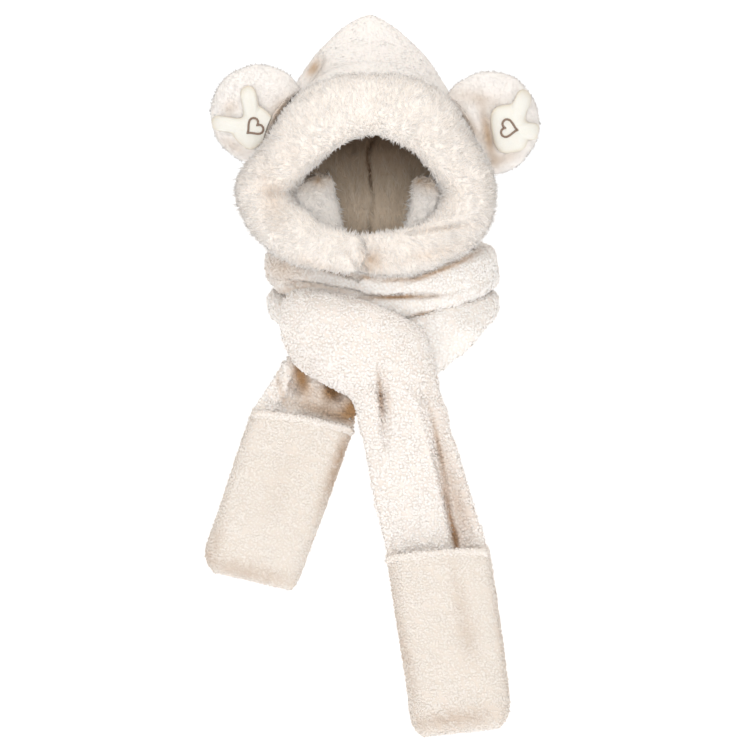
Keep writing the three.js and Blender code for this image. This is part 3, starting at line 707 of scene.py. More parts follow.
hood = {
    "rows": table("y top widest half gable", [
        (-44, -6, -128, 127, 1.0), (-14, 4, -128, 131, 1.1), (25, 26, -126, 131, 1.2),
        (68, 57, -122, 119, 1.25), (104, 24, -118, 90, 1.15), (126, -34, -114, 51, 1.0),
        (133, -84, -112, 0, 1.0)]),
    "taper": 0.08, "shiftX": 10.0, "startsAt": 0.6, "fullHalf": 130.0,
    "wall": 8.0, "seat": (62, 76), "steps": (90, 130),
    "brimTop": 8, "brimLeft": (5, 2.5), "brimRight": (11, 13.5), "brimGap": 1.8,  # places along the brim's rows
    "cloth": {"setIn": 0.8, "lumps": 1.6, "lumpSize": 34.0, "nubs": 0.5, "nubSize": 5.0},
    "pile": {"spacing": 2.8, "length": 3.2, "width": 2.3, "sink": 0.6, "rise": 0.24, "comb": 0.75,
             "swirl": 0.4, "loose": 0.1, "clump": 9.0, "softness": 0.96, "cloth": 0.9,
             "curl": 4.5, "gather": 0.35, "stroke": 0.4},
    "fade": (18, 12), "spotsFrom": 60.0, "dents": [(-80, -22, -64, 2, 9, 6, 3)],
    # Painted shade in the dark notch at the left of the peak.
    "spots": [(-71, -9, 6, 11, -32, 1.0), (-66, -12, 11, 14, -20, 0.3)],
    "flat": (0.46, 0.36), "inside": (0.0, 30.0, -140.0),
}
lining = {
    "inset": 8.8, "wall": 2.6, "seat": (79, 84), "steps": (54, 84),
    "cloth": {"setIn": 0.4, "lumps": 0.8, "lumpSize": 24.0, "nubs": 0.4, "nubSize": 6.0},
    "pile": {"spacing": 3.0, "length": 11.0, "width": 2.6, "sink": 0.6, "rise": 0.4, "comb": 0.9,
             "swirl": 0.35, "loose": 0.2, "clump": 13.0, "softness": 0.7, "cloth": 0.2,
             "curl": 7.0, "gather": 0.4, "stroke": 0.8},
    "seam": {"bulge": 5.0, "spread": 26.0, "width": 3.6, "wander": 6.0, "x": 1.0},
    # The lining's painted shade grows between these two heights.
    "lightBelow": -200.0, "darkAbove": -108.0, "fade": (14, 10),
    "flat": (0.43, 0.34),
}
wrap = {
    "rows": table("top bottom flare", [
        (-243, -319, 0), (-239, -304, 4), (-230, -282, 7), (-224, -267, 3),
        (-222, -261, 0), (-224, -267, 0), (-230, -281, 0), (-239, -299, 0)]),
    "centreX": 14.0, "reachX": 145.0, "reachY": 128.0, "half": 19.0, "squareness": (0.8, 0.7),
    "outerShare": 0.1, "neckSidePile": 0.25,
    "crease": {"depth": 4.5, "height": -0.34, "spread": 0.12, "middle": -25.0, "reach": 55.0},
    "hemGap": 1.2, "steps": (260, 64),
    "cloth": {"setIn": 1.4, "lumps": 1.6, "lumpSize": 22.0, "nubs": 1.8, "nubSize": 4.6},
    "pile": {"nub": 4.0, "wide": 0.62, "tall": 2.0, "sink": 1.2, "tilt": 0.8, "comb": 0.3, "clump": 9.0,
             "softness": 0.62, "cloth": 0.2},
    "dents": [(-12, -293, 38, -291, 11, 1.6, 1.6), (38, -291, 84, -289, 8, 1.6, 1.6),
              (-104, -274, -60, -279, 8, 2, 2), (-60, -279, -14, -288, 6, 2, 2),
              (-60, -255, -14, -268, 10, 2.5, 2.5), (52, -266, 112, -242, 7, 2, 2)],
    # Painted shade in the creases, under the brim's lower edge and beside the lobe.
    "spots": [(-112, -258, 36, 18, -5, 0.42), (-96, -284, 22, 4, 8, 0.4), (34, -292, 44, 2.4, 1, 1.0),
              (-60, -279, 45, 3, -10, 0.3), (-40, -260, 17, 4, -12, 1.0), (-4, -267, 10, 3, 0, 0.8),
              (34, -270, 26, 3, 3, 0.6), (84, -260, 34, 3, 20, 0.8), (122, -243, 20, 3, 25, 0.5),
              (64, -315, 14, 4, 14, 1.0), (-112, -300, 14, 12, 0, 0.3)],
}


def wrapRowAt(angle):
    # The wrap's row at each angle round the neck: eight rows, 45 degrees apart.
    return rowAt(wrap["rows"], np.degrees(angle) / 45 % 8, True)


def brimPlaceFor(across):
    # The brim's place beside each place across the hood, from low on one side over the top.
    height = np.abs(across)
    upper = np.clip(height / hood["startsAt"], 0, 1)
    lower = np.clip((height - hood["startsAt"]) / (1 - hood["startsAt"]), 0, 1)
    top = hood["brimTop"]
    left, right = (top + (middle - top) * upper + (low - middle) * lower
                   for middle, low in (hood["brimLeft"], hood["brimRight"]))
    return np.where(across < 0, left, right)


def hoodSection(row, across, inset):
    # Above its widest line a section is a gable, x by the sine and z by the cosine of one angle, each
    # raised to the gable's power. Below it the side panels run down to the wrap.
    height = np.abs(across)
    narrow = min(1.0, row["half"] * 4 / hood["fullHalf"])
    half = max(0.0, row["half"] - inset * narrow)
    y = row["y"] - inset * max(0.0, 1 - row["half"] / hood["fullHalf"])
    angle = np.clip(height / hood["startsAt"], 0, 1) * math.pi / 2
    rise = row["top"] - inset - row["widest"]
    topX = half * np.sin(angle) ** row["gable"]
    topZ = row["widest"] + rise * np.maximum(0, np.cos(angle)) ** row["gable"]
    down = np.clip((height - hood["startsAt"]) / (1 - hood["startsAt"]), 0, 1)
    side = np.sign(across)
    lowX = side * half * (1 - hood["taper"] * down * down) + hood["shiftX"] * narrow * down
    hem = wrapRowAt(np.arctan2(lowX - wrap["centreX"], -y))["top"] + wrap["hemGap"]
    upper = height <= hood["startsAt"]
    return joined(np.where(upper, side * topX, lowX), y,
                  np.where(upper, topZ, row["widest"] + (hem - row["widest"]) * down))


def hoodSheet(inset, seat, steps):
    # Each column runs smoothly from its seat behind the brim through every section to the back seam.
    along, columns = steps
    across = np.linspace(-1, 1, columns)
    rows = hood["rows"]
    control = [brimPoint(brimPlaceFor(across), np.full(columns, float(seat)), hood["brimGap"])]
    for number in range(len(rows["y"])):
        row = {key: float(column[number]) for key, column in rows.items()}
        control.append(hoodSection(row, across, inset))
    index, weights = smoothPlaces(len(control), np.linspace(0, len(control) - 1, along))
    return np.einsum("rk,rkcd->rcd", weights, np.array(control)[index])


def makeHood():
    # A wall between an outer and an inner sheet, with its pile combed back and down.
    outer = hoodSheet(0.0, hood["seat"][0], hood["steps"])
    inner = hoodSheet(hood["wall"], hood["seat"][1], hood["steps"])
    normals = gridNormals(outer, False, hood["inside"])
    dented = pressed(outer, unit(normals + [0, -1, 0]), hood["dents"])
    share = fadedEdges(hood["steps"], *hood["fade"])
    shaped, shapedNormals = roughened(dented, False, hood["cloth"], 17, hood["inside"], share)
    cloth = clothPiece("hood_cloth", wallParts(shaped, inner), plainCloth(shaped, hood["pile"]),
                       hood["spots"], hood["spotsFrom"])
    finished(cloth, ["hood_shell"], smoothPlush)
    lean = laidAlong(shapedNormals, (0, 0.6, -1))
    pile = pilePiece("hood_pile", (shaped, shapedNormals, False, lean, None), hood["pile"], 41, hood["spots"],
                     hood["spotsFrom"])
    finished(pile, [], smoothPlush)
    return cloth


def pointsOf(piece):
    # A piece's points, back in millimetres.
    found = np.empty(len(piece.data.vertices) * 3, np.float32)
    piece.data.vertices.foreach_get("co", found)
    return found.reshape(-1, 3).astype(float) / mm


def fromSeam(points):
    # How far each point is to the side of the centre seam, which wanders a little.
    seam = lining["seam"]
    return points[..., 0] - seam["x"] - seam["wander"] * softNoise(points, 30.0, 77)


def shadeLining(piece):
    # Painted shade: darker by height under the crown, where the hood shades its lining, and dark in a narrow
    # line along the seam.
    points = pointsOf(piece)
    low, high = lining["lightBelow"], lining["darkAbove"]
    height = np.clip((points[:, 2] - low) / (high - low), 0, 1)
    line = 0.35 + 0.35 * softNoise(points, 12.0, 78)
    shade = height ** 0.9 * 0.92 + line * bell(fromSeam(points), lining["seam"]["width"] * 0.45)
    piece.data.attributes["shade"].data.foreach_set("value", np.clip(shade, 0, 1).astype(np.float32))


def makeLining():
    # A thin wall inside the hood's, whose fleece bulges on both sides of the centre seam.
    steps, seam = lining["steps"], lining["seam"]
    outer = hoodSheet(lining["inset"], lining["seat"][0], steps)
    inner = hoodSheet(lining["inset"] + lining["wall"], lining["seat"][1], steps)
    aside = fromSeam(inner)
    bulge = seam["bulge"] * bell(aside, seam["spread"]) * (1 - bell(aside, seam["width"]))
    inner = inner - gridNormals(inner, False, hood["inside"]) * bulge[..., None]
    share = fadedEdges(steps, *lining["fade"])
    shaped, shapedNormals = roughened(inner, False, lining["cloth"], 23, hood["inside"], -share)
    shapedNormals = -shapedNormals
    piece = clothPiece("lining_cloth", wallParts(outer, shaped), plainCloth(shaped, lining["pile"]))
    shadeLining(piece)
    finished(piece, ["hood_lining"], liningFleece)
    lean = laidAlong(shapedNormals, (0, 0, -1))
    keep = np.clip(np.abs(aside) / seam["width"], 0.15, 1)
    pile = pilePiece("lining_pile", (shaped, shapedNormals, False, lean, keep), lining["pile"], 51)
    shadeLining(pile)
    finished(pile, [], liningFleece)
    return piece


def makeWrap():
    # An upright oval section carried round the neck, with a crease between its two rolls.
    around, section = wrap["steps"]
    angle = (np.arange(around) * 2 * math.pi / around)[:, None]
    share = np.arange(section) / section
    # The section has more of its points on the outer side.
    turn = (-2 * math.pi * (share - wrap["outerShare"] * np.sin(2 * math.pi * share)))[None, :]
    row = wrapRowAt(angle)
    rise = signedPower(np.sin(turn), wrap["squareness"][0])
    outness = signedPower(np.cos(turn), wrap["squareness"][1])
    crease = wrap["crease"]
    near = 0.15 + 0.85 * bell((np.degrees(angle) - crease["middle"] + 180) % 360 - 180, crease["reach"])
    depth = np.where(outness > 0, crease["depth"] * near * bell(rise - crease["height"], crease["spread"]), 0)
    out = wrap["half"] * (outness - 1) - depth + row["flare"] * np.maximum(0, -rise)
    x = wrap["centreX"] + (wrap["reachX"] + out) * np.sin(angle)
    y = -(wrap["reachY"] + out) * np.cos(angle)
    z = row["bottom"] + (row["top"] - row["bottom"]) / 2 * (1 + rise)
    grid = joined(x, y, z)
    # Two rows of overlap at each end keep the normals right where the ring closes.
    looped = np.concatenate([grid[-2:], grid, grid[:2]])
    looped = pressed(looped, gridNormals(looped, True), wrap["dents"])
    rough, normals = roughened(looped, True, wrap["cloth"], 29)
    grid, normals = rough[2:-2], normals[2:-2]
    closed = np.concatenate([grid, grid[:1]])
    closedNormals = np.concatenate([normals, normals[:1]])
    lean = laidAlong(closedNormals, (0, 0, -1))
    keep = parted(closed, closedNormals, wrap["dents"], np.where(np.cos(turn) < 0, wrap["neckSidePile"], 1.0))
    piece = furryPiece("neck_wrap_plush", ringParts(grid), (closed, closedNormals, True, lean, keep),
                       wrap["pile"], 61, wrap["spots"])
    return finished(piece, ["neck_wrap"], litScarfPlush)


# Scarf strands, by their left and right edges

strandColumns = "lx lz rx rz y turn half flat bow foldA deepA foldB deepB"
strandFill, thinShare = 0.5, 0.3
overStrand = {
    "rows": table(strandColumns, [
        (-80, -281, 50, -325, -132, -4, 5, 2, 20, 0.3, 0, 0.6, 0),
        (-103, -288, 68, -336, -147, -8, 22, 2, 24, 0.3, 0, 0.6, 0),
        (-113, -314, 76, -354, -153, -9, 29, 2.2, 24, 0.3, 0, 0.6, 0),
        (-107, -351, 82, -376, -152, -8, 33, 2.4, 18, 0.2, 0, 0.6, 0),
        (-85, -383, 87, -399, -150, -5, 30, 2.6, 12, 0.05, 5, 0.58, 3),
        (-50, -401, 91, -419, -151, -2, 25, 3, 6, -0.15, 10, 0.56, 6),
        (-24, -416, 96, -436, -154, 0, 20, 4, 2, -0.37, 8, 0.5, 7),
        (-14, -449, 102, -459, -156, 0, 15, 5, 0, -0.46, 5, 0.5, 5),
        (-5, -492, 115, -499, -156, 0, 12, 6, 0, -0.5, 1, 0.5, 4),
        (6, -545, 130, -549, -156, 0, 10, 7, 0, -0.5, 0, 0.45, 4),
        (20, -609, 146, -600, -156, 0, 7, 16, 0, -0.5, 0, 0.33, 4),
        (32, -686, 158, -674, -156, 0, 7, 16, 0, -0.5, 0, 0.33, 0),
        (44, -761, 168, -749, -156, 0, 7, 16, 0, -0.5, 0, 0.33, 0),
        (52, -816, 172, -803, -156, 0, 7, 16, 0, -0.5, 0, 0.33, 0),
        (66, -835, 158, -825, -156, 0, 5, 16, 0, -0.5, 0, 0.33, 0)]),
    "steps": (200, 96), "foldSpread": 0.08,
    "hidden": (10.3, 13.9),
    "cloth": {"setIn": 1.4, "lumps": 1.6, "lumpSize": 24.0, "nubs": 1.9, "nubSize": 4.6},
    "pile": {"nub": 4.0, "wide": 0.62, "tall": 2.5, "sink": 1.2, "tilt": 0.8, "comb": 0.3, "clump": 9.0,
             "softness": 0.33, "cloth": 0.2},
    "dents": [(10, -386, 15, -430, 4.5, 1.3, 3), (15, -430, 19, -478, 4, 3, 4),
              (62, -405, 81, -486, 4, 2.5, 4), (81, -486, 92, -540, 5, 1.5, 3.5),
              (92, -540, 104, -596, 5, 1.5, 3), (81, -486, 104, -594, 2.5, 3, 16)],
    # Painted shade in the two fold slits, on the flap beside them, at the pocket's mouth and a little under the
    # lobe.
    "spots": [(13, -412, 3, 28, 6, 0.9), (21, -414, 5, 32, 6, 0.3), (85, -476, 3, 50, 12, 0.6),
              (96, -500, 9, 60, 12, 0.3), (99, -562, 3, 44, 12, 0.8), (114, -560, 13, 46, 10, 0.38),
              (106, -590, 4, 14, 8, 0.9), (-80, -375, 30, 12, -35, 0.12)],
}
underStrand = {
    "rows": table(strandColumns, [
        (-34, -318, -36, -330, -102, 0, 4, 2, 0, -0.3, 0, 0.4, 0),
        (-72, -307, -72, -334, -90, 0, 12, 2.6, 0, -0.3, 0, 0.4, 0),
        (-106, -295, -104, -329, -50, 0, 14, 3, 0, -0.3, 0, 0.4, 0),
        (-112, -283, -112, -318, 8, 0, 15, 3, 0, -0.3, 0, 0.4, 0),
        (-76, -271, -76, -306, 78, 0, 15, 3, 0, -0.3, 0, 0.4, 0),
        (14, -264, 14, -300, 108, 0, 15, 3, 0, -0.3, 0, 0.4, 0),
        (104, -270, 104, -307, 76, 0, 15, 3, 0, -0.3, 0, 0.4, 0),
        (144, -283, 148, -318, 8, 0, 15, 3, 0, -0.3, 0, 0.4, 0),
        (128, -295, 144, -332, -52, 0, 15, 3, 0, -0.3, 0, 0.4, 0),
        (76, -306, 128, -352, -88, 0, 16, 3, 0, -0.3, 0, 0.4, 0),
        (19, -320, 87, -386, -98, 0, 16, 3, 0, -0.3, 0, 0.4, 0),
        (-41, -338, 44, -414, -98, 0, 16, 3, 0, -0.3, 3, 0.4, 3),
        (-87, -354, 6, -428, -100, 0, 16, 3, 0, -0.35, 6, 0.35, 6),
        (-110, -374, -16, -438, -103, 0, 16, 4, 0, -0.4, 9, 0.35, 9),
        (-127, -401, -20, -446, -108, 0, 13, 5, 0, -0.42, 9, 0.38, 9),
        (-144, -430, -20, -452, -109, 0, 7, 8, 0, -0.42, 5, 0.4, 5),
        (-164, -484, -40, -510, -109, 0, 7, 16, 0, -0.42, 0, 0.4, 0),
        (-185, -549, -66, -582, -109, 0, 7, 16, 0, -0.42, 0, 0.4, 0),
        (-204, -608, -88, -640, -109, 0, 7, 16, 0, -0.42, 0, 0.4, 0),
        (-194, -634, -98, -656, -109, 0, 5, 16, 0, -0.42, 0, 0.4, 0)]),
    "steps": (270, 60), "foldSpread": 0.1,
    "hidden": (15.3, 18.9), "thin": (0.5, 8.5),
    "cloth": overStrand["cloth"],
    "pile": {**overStrand["pile"], "tall": 2.0, "softness": 0.55},
    "dents": [(-84, -378, -92, -404, 12, 6, 6), (-92, -404, -98, -426, 4, 5, 5),
              (-50, -398, -42, -412, 11, 5, 6), (-42, -412, -32, -430, 4, 5, 6),
              (-112, -380, -126, -426, 5, 4, 4)],
    # Painted shade in the recesses between the pleats under the lobe.
    "spots": [(-86, -388, 10, 24, 15, 1.0), (-46, -406, 13, 16, -25, 1.0), (-20, -430, 14, 14, 0, 1.0),
              (-112, -400, 3, 24, 15, 0.35), (-66, -412, 50, 20, -12, 0.28), (-72, -430, 36, 9, -12, 0.4),
              (-36, -441, 26, 9, -12, 0.5)],
}
facings = {
    "left": {"comb": (-0.9, -0.4, -0.5), "rows": table(strandColumns, [
        (-44, -226, -26, -216, -107, 4, 4, 2, 0, 0, 0, 0, 0),
        (-72, -228, -32, -208, -94, 8, 12, 2.2, 0, 0, 0, 0, 0),
        (-92, -206, -36, -190, -81, 14, 13, 2.4, 0, 0, 0, 0, 0),
        (-101, -178, -40, -166, -70, 16, 13, 2.4, 0, 0, 0, 0, 0),
        (-99, -158, -46, -144, -66, 16, 11, 2.2, 0, 0, 0, 0, 0),
        (-86, -148, -60, -138, -65, 10, 4, 2, 0, 0, 0, 0, 0)])},
    "right": {"comb": (0.9, -0.4, -0.5), "rows": table(strandColumns, [
        (32, -214, 50, -224, -112, -4, 4, 2, 0, 0, 0, 0, 0),
        (42, -206, 74, -226, -99, -8, 12, 2.2, 0, 0, 0, 0, 0),
        (48, -188, 86, -204, -86, -14, 13, 2.4, 0, 0, 0, 0, 0),
        (52, -166, 90, -176, -73, -16, 13, 2.4, 0, 0, 0, 0, 0),
        (54, -146, 88, -156, -69, -16, 11, 2.2, 0, 0, 0, 0, 0),
        (64, -140, 82, -146, -70, -10, 4, 2, 0, 0, 0, 0, 0)])},
}
facingShape = {
    "steps": (60, 40), "foldSpread": 0.1, "cloth": brim["cloth"],
    "pile": {**brim["pile"], "length": 11.5, "width": 2.2, "spacing": 2.5, "rise": 0.5, "softness": 0.4,
             "curl": 9.0, "gather": 0.7, "stroke": 0.7},
    # Painted shade on the facings' tops, in the brim's shadow.
    "spots": [(-66, -142, 44, 16, 10, 0.75), (70, -145, 44, 16, -10, 0.75)],
}


def strandFrame(rows, place):
    # The middle, the half width and the way a strand faces, which is along its run crossed with its width.
    row = rowAt(rows, place)
    before, after = rowAt(rows, place - 0.1), rowAt(rows, place + 0.1)

    def middle(r):
        # Half way between a row's two edges.
        return joined((r["lx"] + r["rx"]) / 2, r["y"], (r["lz"] + r["rz"]) / 2)

    width = joined((row["rx"] - row["lx"]) / 2, row["turn"], (row["rz"] - row["lz"]) / 2)
    facing = unit(np.cross(unit(middle(after) - middle(before)), width))
    return row, middle(row), width, facing


def strandGrid(rows, steps, foldSpread):
    # Across runs from -1 to 1 in front and back again behind. The thickness is the square root of one
    # minus across to the power flat, and two folds sink into the front as bells.
    along, around = steps
    last = len(rows["y"]) - 1
    place = np.linspace(0, last, along)[:, None]
    row, middle, width, facing = strandFrame(rows, place)
    share = np.arange(around)[None, :] * 2 / around
    half = np.where(share < 1, share, 2 - share)
    across = (np.cos(half * math.pi) + 1 - 2 * half) / 2
    front = np.where(share < 1, 1.0, -1.0)
    full = np.sqrt(np.maximum(0, 1 - np.abs(across) ** row["flat"]))
    folds = row["deepA"] * bell(across - row["foldA"], foldSpread)
    folds = folds + row["deepB"] * bell(across - row["foldB"], foldSpread)
    rise = np.where(front > 0, (row["half"] - folds) * full, -row["half"] * full)
    grid = middle + width * across[..., None] + facing * rise[..., None]
    grid[..., 1] += row["bow"] * across ** 2
    return grid


def within(place, stretch):
    # Whether each place along a strand's rows lies in a stretch, if the strand has it.
    return (place > stretch[0]) & (place < stretch[1]) if stretch else np.zeros(place.shape, bool)


def makeStrand(name, node, settings, seed, material):
    # A strand's grid, dented and roughened. Its front under a pocket has no pile, and the stretch round
    # the nape has less.
    rows, dents = settings["rows"], settings.get("dents", ())
    grid = strandGrid(rows, settings["steps"], settings["foldSpread"])
    grid = pressed(grid, gridNormals(grid, True), dents)
    grid, normals = roughened(grid, True, settings["cloth"], seed)
    lean = laidAlong(normals, settings.get("comb", (0, 0, -1)))
    place = np.linspace(0, len(rows["y"]) - 1, len(grid))[:, None]
    keep = np.where(within(place, settings.get("hidden")) & (normals[..., 1] < -0.7), 0.0, 1.0)
    keep = parted(grid, normals, dents, keep * np.where(within(place, settings.get("thin")), thinShare, 1.0))
    piece = furryPiece(name, tubeParts(grid, 1.0), (grid, normals, True, lean, keep), settings["pile"], seed,
                       settings["spots"])
    return finished(piece, [node], material)


# Ears and their patches

ears = {
    "left": {"x": -139, "y": -32, "z": -66, "radius": 62, "turn": -14},
    "right": {"x": 149, "y": -32, "z": -77, "radius": 65, "turn": 14},
}
earShape = {
    "half": 20.0, "gap": 1.8, "edge": 0.03, "flare": 0.6, "dish": 7.0, "dishSpread": 0.45, "fullness": 2.6,
    "steps": (60, 110),
    "cloth": {"setIn": 1.0, "lumps": 1.2, "lumpSize": 20.0, "nubs": 0.7, "nubSize": 5.0},
    "pile": {"spacing": 2.1, "length": 4.4, "width": 1.6, "sink": 0.8, "rise": 0.75, "comb": 0.6,
             "swirl": 0.4, "loose": 0.25, "clump": 9.0, "softness": 0.85, "cloth": 0.6,
             "curl": 3.8, "gather": 0.6, "stroke": 0.4},
    # Painted shade, warm in colour, round the patches and between the ears and the brim.
    "spots": [(-174, -58, 8, 11, -30, 0.45), (-108, -58, 18, 13, 30, 0.45), (-170, -106, 22, 8, -30, 0.4),
              (-117, -72, 6, 26, -34, 0.6), (132, -46, 34, 10, -12, 0.4), (147, -92, 7, 32, 12, 1.0),
              (124, -78, 6, 26, 34, 0.6), (165, -122, 24, 8, 20, 0.5), (192, -92, 6, 8, 0, 0.5)],
}
patches = {
    "left": {"x": -141, "z": -83, "head": (26, 20, 48), "longEars": [(99, 53, 10), (173, 56, 9.5)],
             "heartTurn": -50},
    "right": {"x": 170, "z": -84, "head": (30, 22, 98), "longEars": [(64, 53, 10.5), (-7, 42, 10.5)],
              "heartTurn": 80},
}
patchShape = {"thick": 11.0, "gap": 2.4, "edge": 0.02, "fullness": 2.3, "blend": 13.0, "clearOfHood": 6.0,
              "steps": (32, 120), "squareness": 3.4}
heart = {"width": 22.0, "thread": 1.6, "stitch": 2.6, "steps": (200, 8), "lift": 0.5, "thinnest": 0.72}
noHood = -1000.0  # a clearance so far in that the hood leaves an ear its whole round shape


def hoodSideX(y, z):
    # How far out the hood's side is at each place, which an ear's root has to stay clear of.
    rows = hood["rows"]
    place = np.interp(y, rows["y"], np.arange(len(rows["y"])))
    row = rowAt(rows, place)
    flare = earShape["flare"] * np.maximum(0, rows["y"][0] - y)
    height = (z - row["widest"]) / (row["top"] - row["widest"])
    low = np.clip(height, 0, 1)
    narrowing = np.sqrt(np.maximum(0, 1 - low ** (2 / row["gable"]))) ** row["gable"]
    return np.where(height >= 1, 0, row["half"] * narrowing + flare)


def earSurface(ear, share, direction, front, clear):
    # A round pad whose half thickness is the square root of one minus the share to the fullness, with
    # a bell-shaped dish in front, turned about the upright and kept clear of the hood.
    profile = earShape["half"] * np.sqrt(np.maximum(0, 1 - share ** earShape["fullness"]))
    dish = np.where(front > 0, earShape["dish"] * bell(share, earShape["dishSpread"]), 0)
    x = np.cos(direction) * share * ear["radius"]
    y = -front * (profile - dish)
    z = np.sin(direction) * share * ear["radius"]
    turn = math.radians(ear["turn"])
    point = joined(ear["x"] + x * math.cos(turn) - y * math.sin(turn),
                   ear["y"] + x * math.sin(turn) + y * math.cos(turn), ear["z"] + z)
    side = math.copysign(1, ear["x"])
    limit = hoodSideX(point[..., 1], point[..., 2]) + clear
    point[..., 0] = np.where(side * point[..., 0] < limit, side * limit, point[..., 0])
    return point


def padRings(shape):
    # Rings of a pad from the middle of its front over its rim to the middle of its back. The share of
    # the way out is the sine of one angle, and front is 1 before the rim and -1 behind it.
    rings, around = shape["steps"]
    turn = np.linspace(shape["edge"], math.pi - shape["edge"], rings)[:, None]
    direction = (-np.arange(around) * 2 * math.pi / around)[None, :]
    return np.broadcast_arrays(np.sin(turn), direction, np.where(turn < math.pi / 2, 1.0, -1.0))


def makeEar(side):
    # The pile follows the normals that the ear has where no hood pushes it flat.
    ear = ears[side]
    rings = padRings(earShape)
    grid, free = earSurface(ear, *rings, earShape["gap"]), earSurface(ear, *rings, noHood)
    normals = gridNormals(free, True)
    grid, _ = roughened(grid, True, earShape["cloth"], 37)
    lean = awayFrom(grid, normals, (ear["x"], ear["z"]))
    piece = furryPiece("ear_" + side + "_plush", tubeParts(grid), (grid, normals, True, lean, None),
                       earShape["pile"], 71 + len(side), earShape["spots"])
    return finished(piece, ["ear_" + side], smoothPlush)


def longEarReach(length, half, off):
    # A capsule's outline from its root: its flat side, and beyond that its round tip.
    tip = length - half
    away = np.abs(np.sin(off))
    rounded = tip * np.cos(off) + np.sqrt(np.maximum(0, half ** 2 - (tip * away) ** 2))
    side = half / np.maximum(away, 1e-6)
    reach = np.where(np.abs(np.tan(off)) < half / tip, rounded, side)
    return np.where(np.cos(off) <= 0, 0, reach)


def patchReach(patch, direction):
    # A squarish head softly joined to two long ears: the blend-th root of the sum of the reaches'
    # powers. The head is a turned rectangle with rounded sides, by the same kind of sum.
    wide, high, turn = patch["head"]
    turned, square = direction - math.radians(turn), patchShape["squareness"]
    sides = np.abs(np.cos(turned) / wide) ** square + np.abs(np.sin(turned) / high) ** square
    head = sides ** (-1 / square)
    total = head ** patchShape["blend"]
    for toward, length, half in patch["longEars"]:
        total = total + longEarReach(length, half, direction - math.radians(toward)) ** patchShape["blend"]
    return total ** (1 / patchShape["blend"])


def earFront(side, x, z):
    # The front of an ear behind each place in the front view.
    ear = ears[side]
    flatX = (x - ear["x"]) / math.cos(math.radians(ear["turn"]))
    flatZ = z - ear["z"]
    share = np.minimum(0.96, np.hypot(flatX, flatZ) / ear["radius"])
    return earSurface(ear, share, np.arctan2(flatZ, flatX), np.ones_like(share), patchShape["clearOfHood"])


def patchSurface(side, share, direction, front):
    # A pad on the ear's front: its outline's reach times the share, thick by the square root of one
    # minus the share to the fullness.
    patch = patches[side]
    reach = patchReach(patch, direction) * share
    point = earFront(side, patch["x"] + np.cos(direction) * reach, patch["z"] + np.sin(direction) * reach)
    thick = patchShape["thick"] * np.sqrt(np.maximum(0, 1 - share ** patchShape["fullness"]))
    point[..., 1] -= patchShape["gap"] + np.where(front > 0, thick, 0)
    return point


def makePatch(side):
    # The rim value rises steeply towards the outline, for painted shade along the edge.
    share, direction, front = padRings(patchShape)
    grid = patchSurface(side, share, direction, front)
    rim = np.concatenate([np.clip(share, 0, 1).ravel() ** 12, [0.0, 0.0]])
    piece = clothPiece("ear_patch_" + side + "_velour", tubeParts(grid), {"rim": rim})
    return finished(piece, ["ear_patch_" + side], velour)


def makeHeart(side):
    # A heart outline, x by the cube of the sine and z by a sum of cosines, embroidered as a row of
    # stitches: a thread whose radius swells and thins once for each stitch.
    patch = patches[side]
    along, around = heart["steps"]
    t = (np.arange(along) * 2 * math.pi / along)[:, None]
    flatX = 16 * np.sin(t) ** 3
    flatZ = 13 * np.cos(t) - 5 * np.cos(2 * t) - 2 * np.cos(3 * t) - np.cos(4 * t) + 2
    turn = math.radians(patch["heartTurn"])
    size = heart["width"] / 32
    x = size * (flatX * math.cos(turn) - flatZ * math.sin(turn))
    z = size * (flatX * math.sin(turn) + flatZ * math.cos(turn))
    direction = np.arctan2(z, x)
    share = np.hypot(x, z) / patchReach(patch, direction)
    line = patchSurface(side, share, direction, np.ones_like(share))[:, 0]
    line[:, 1] -= heart["lift"]
    way = unit(np.roll(line, -1, axis=0) - np.roll(line, 1, axis=0))
    run = np.cumsum(np.linalg.norm(line - np.roll(line, 1, axis=0), axis=1))
    stitches = round(run[-1] / heart["stitch"])
    thinnest = heart["thinnest"]
    swell = thinnest + (1 - thinnest) * np.abs(np.sin(run / run[-1] * stitches * math.pi))
    outward = np.array([0.0, -1.0, 0.0])
    first = unit(np.cross(way, outward))
    second = np.cross(first, way)
    angle = (np.arange(around) * 2 * math.pi / around)[None, :, None]
    radius = (heart["thread"] * swell)[:, None, None]
    grid = line[:, None] + radius * (first[:, None] * np.cos(angle) + second[:, None] * np.sin(angle) * 0.8)
    # The crown value is 1 where a stitch swells most: its painted highlight.
    crown = np.repeat(np.clip((swell - thinnest) / (1 - thinnest), 0, 1), around)
    piece = clothPiece("patch_" + side + "_heart_stitches", ringParts(grid), {"crown": crown})
    return finished(piece, [], thread)


# Pockets: a shallow tray of cloth on the front of each strand's end, with a rolled hem at its mouth

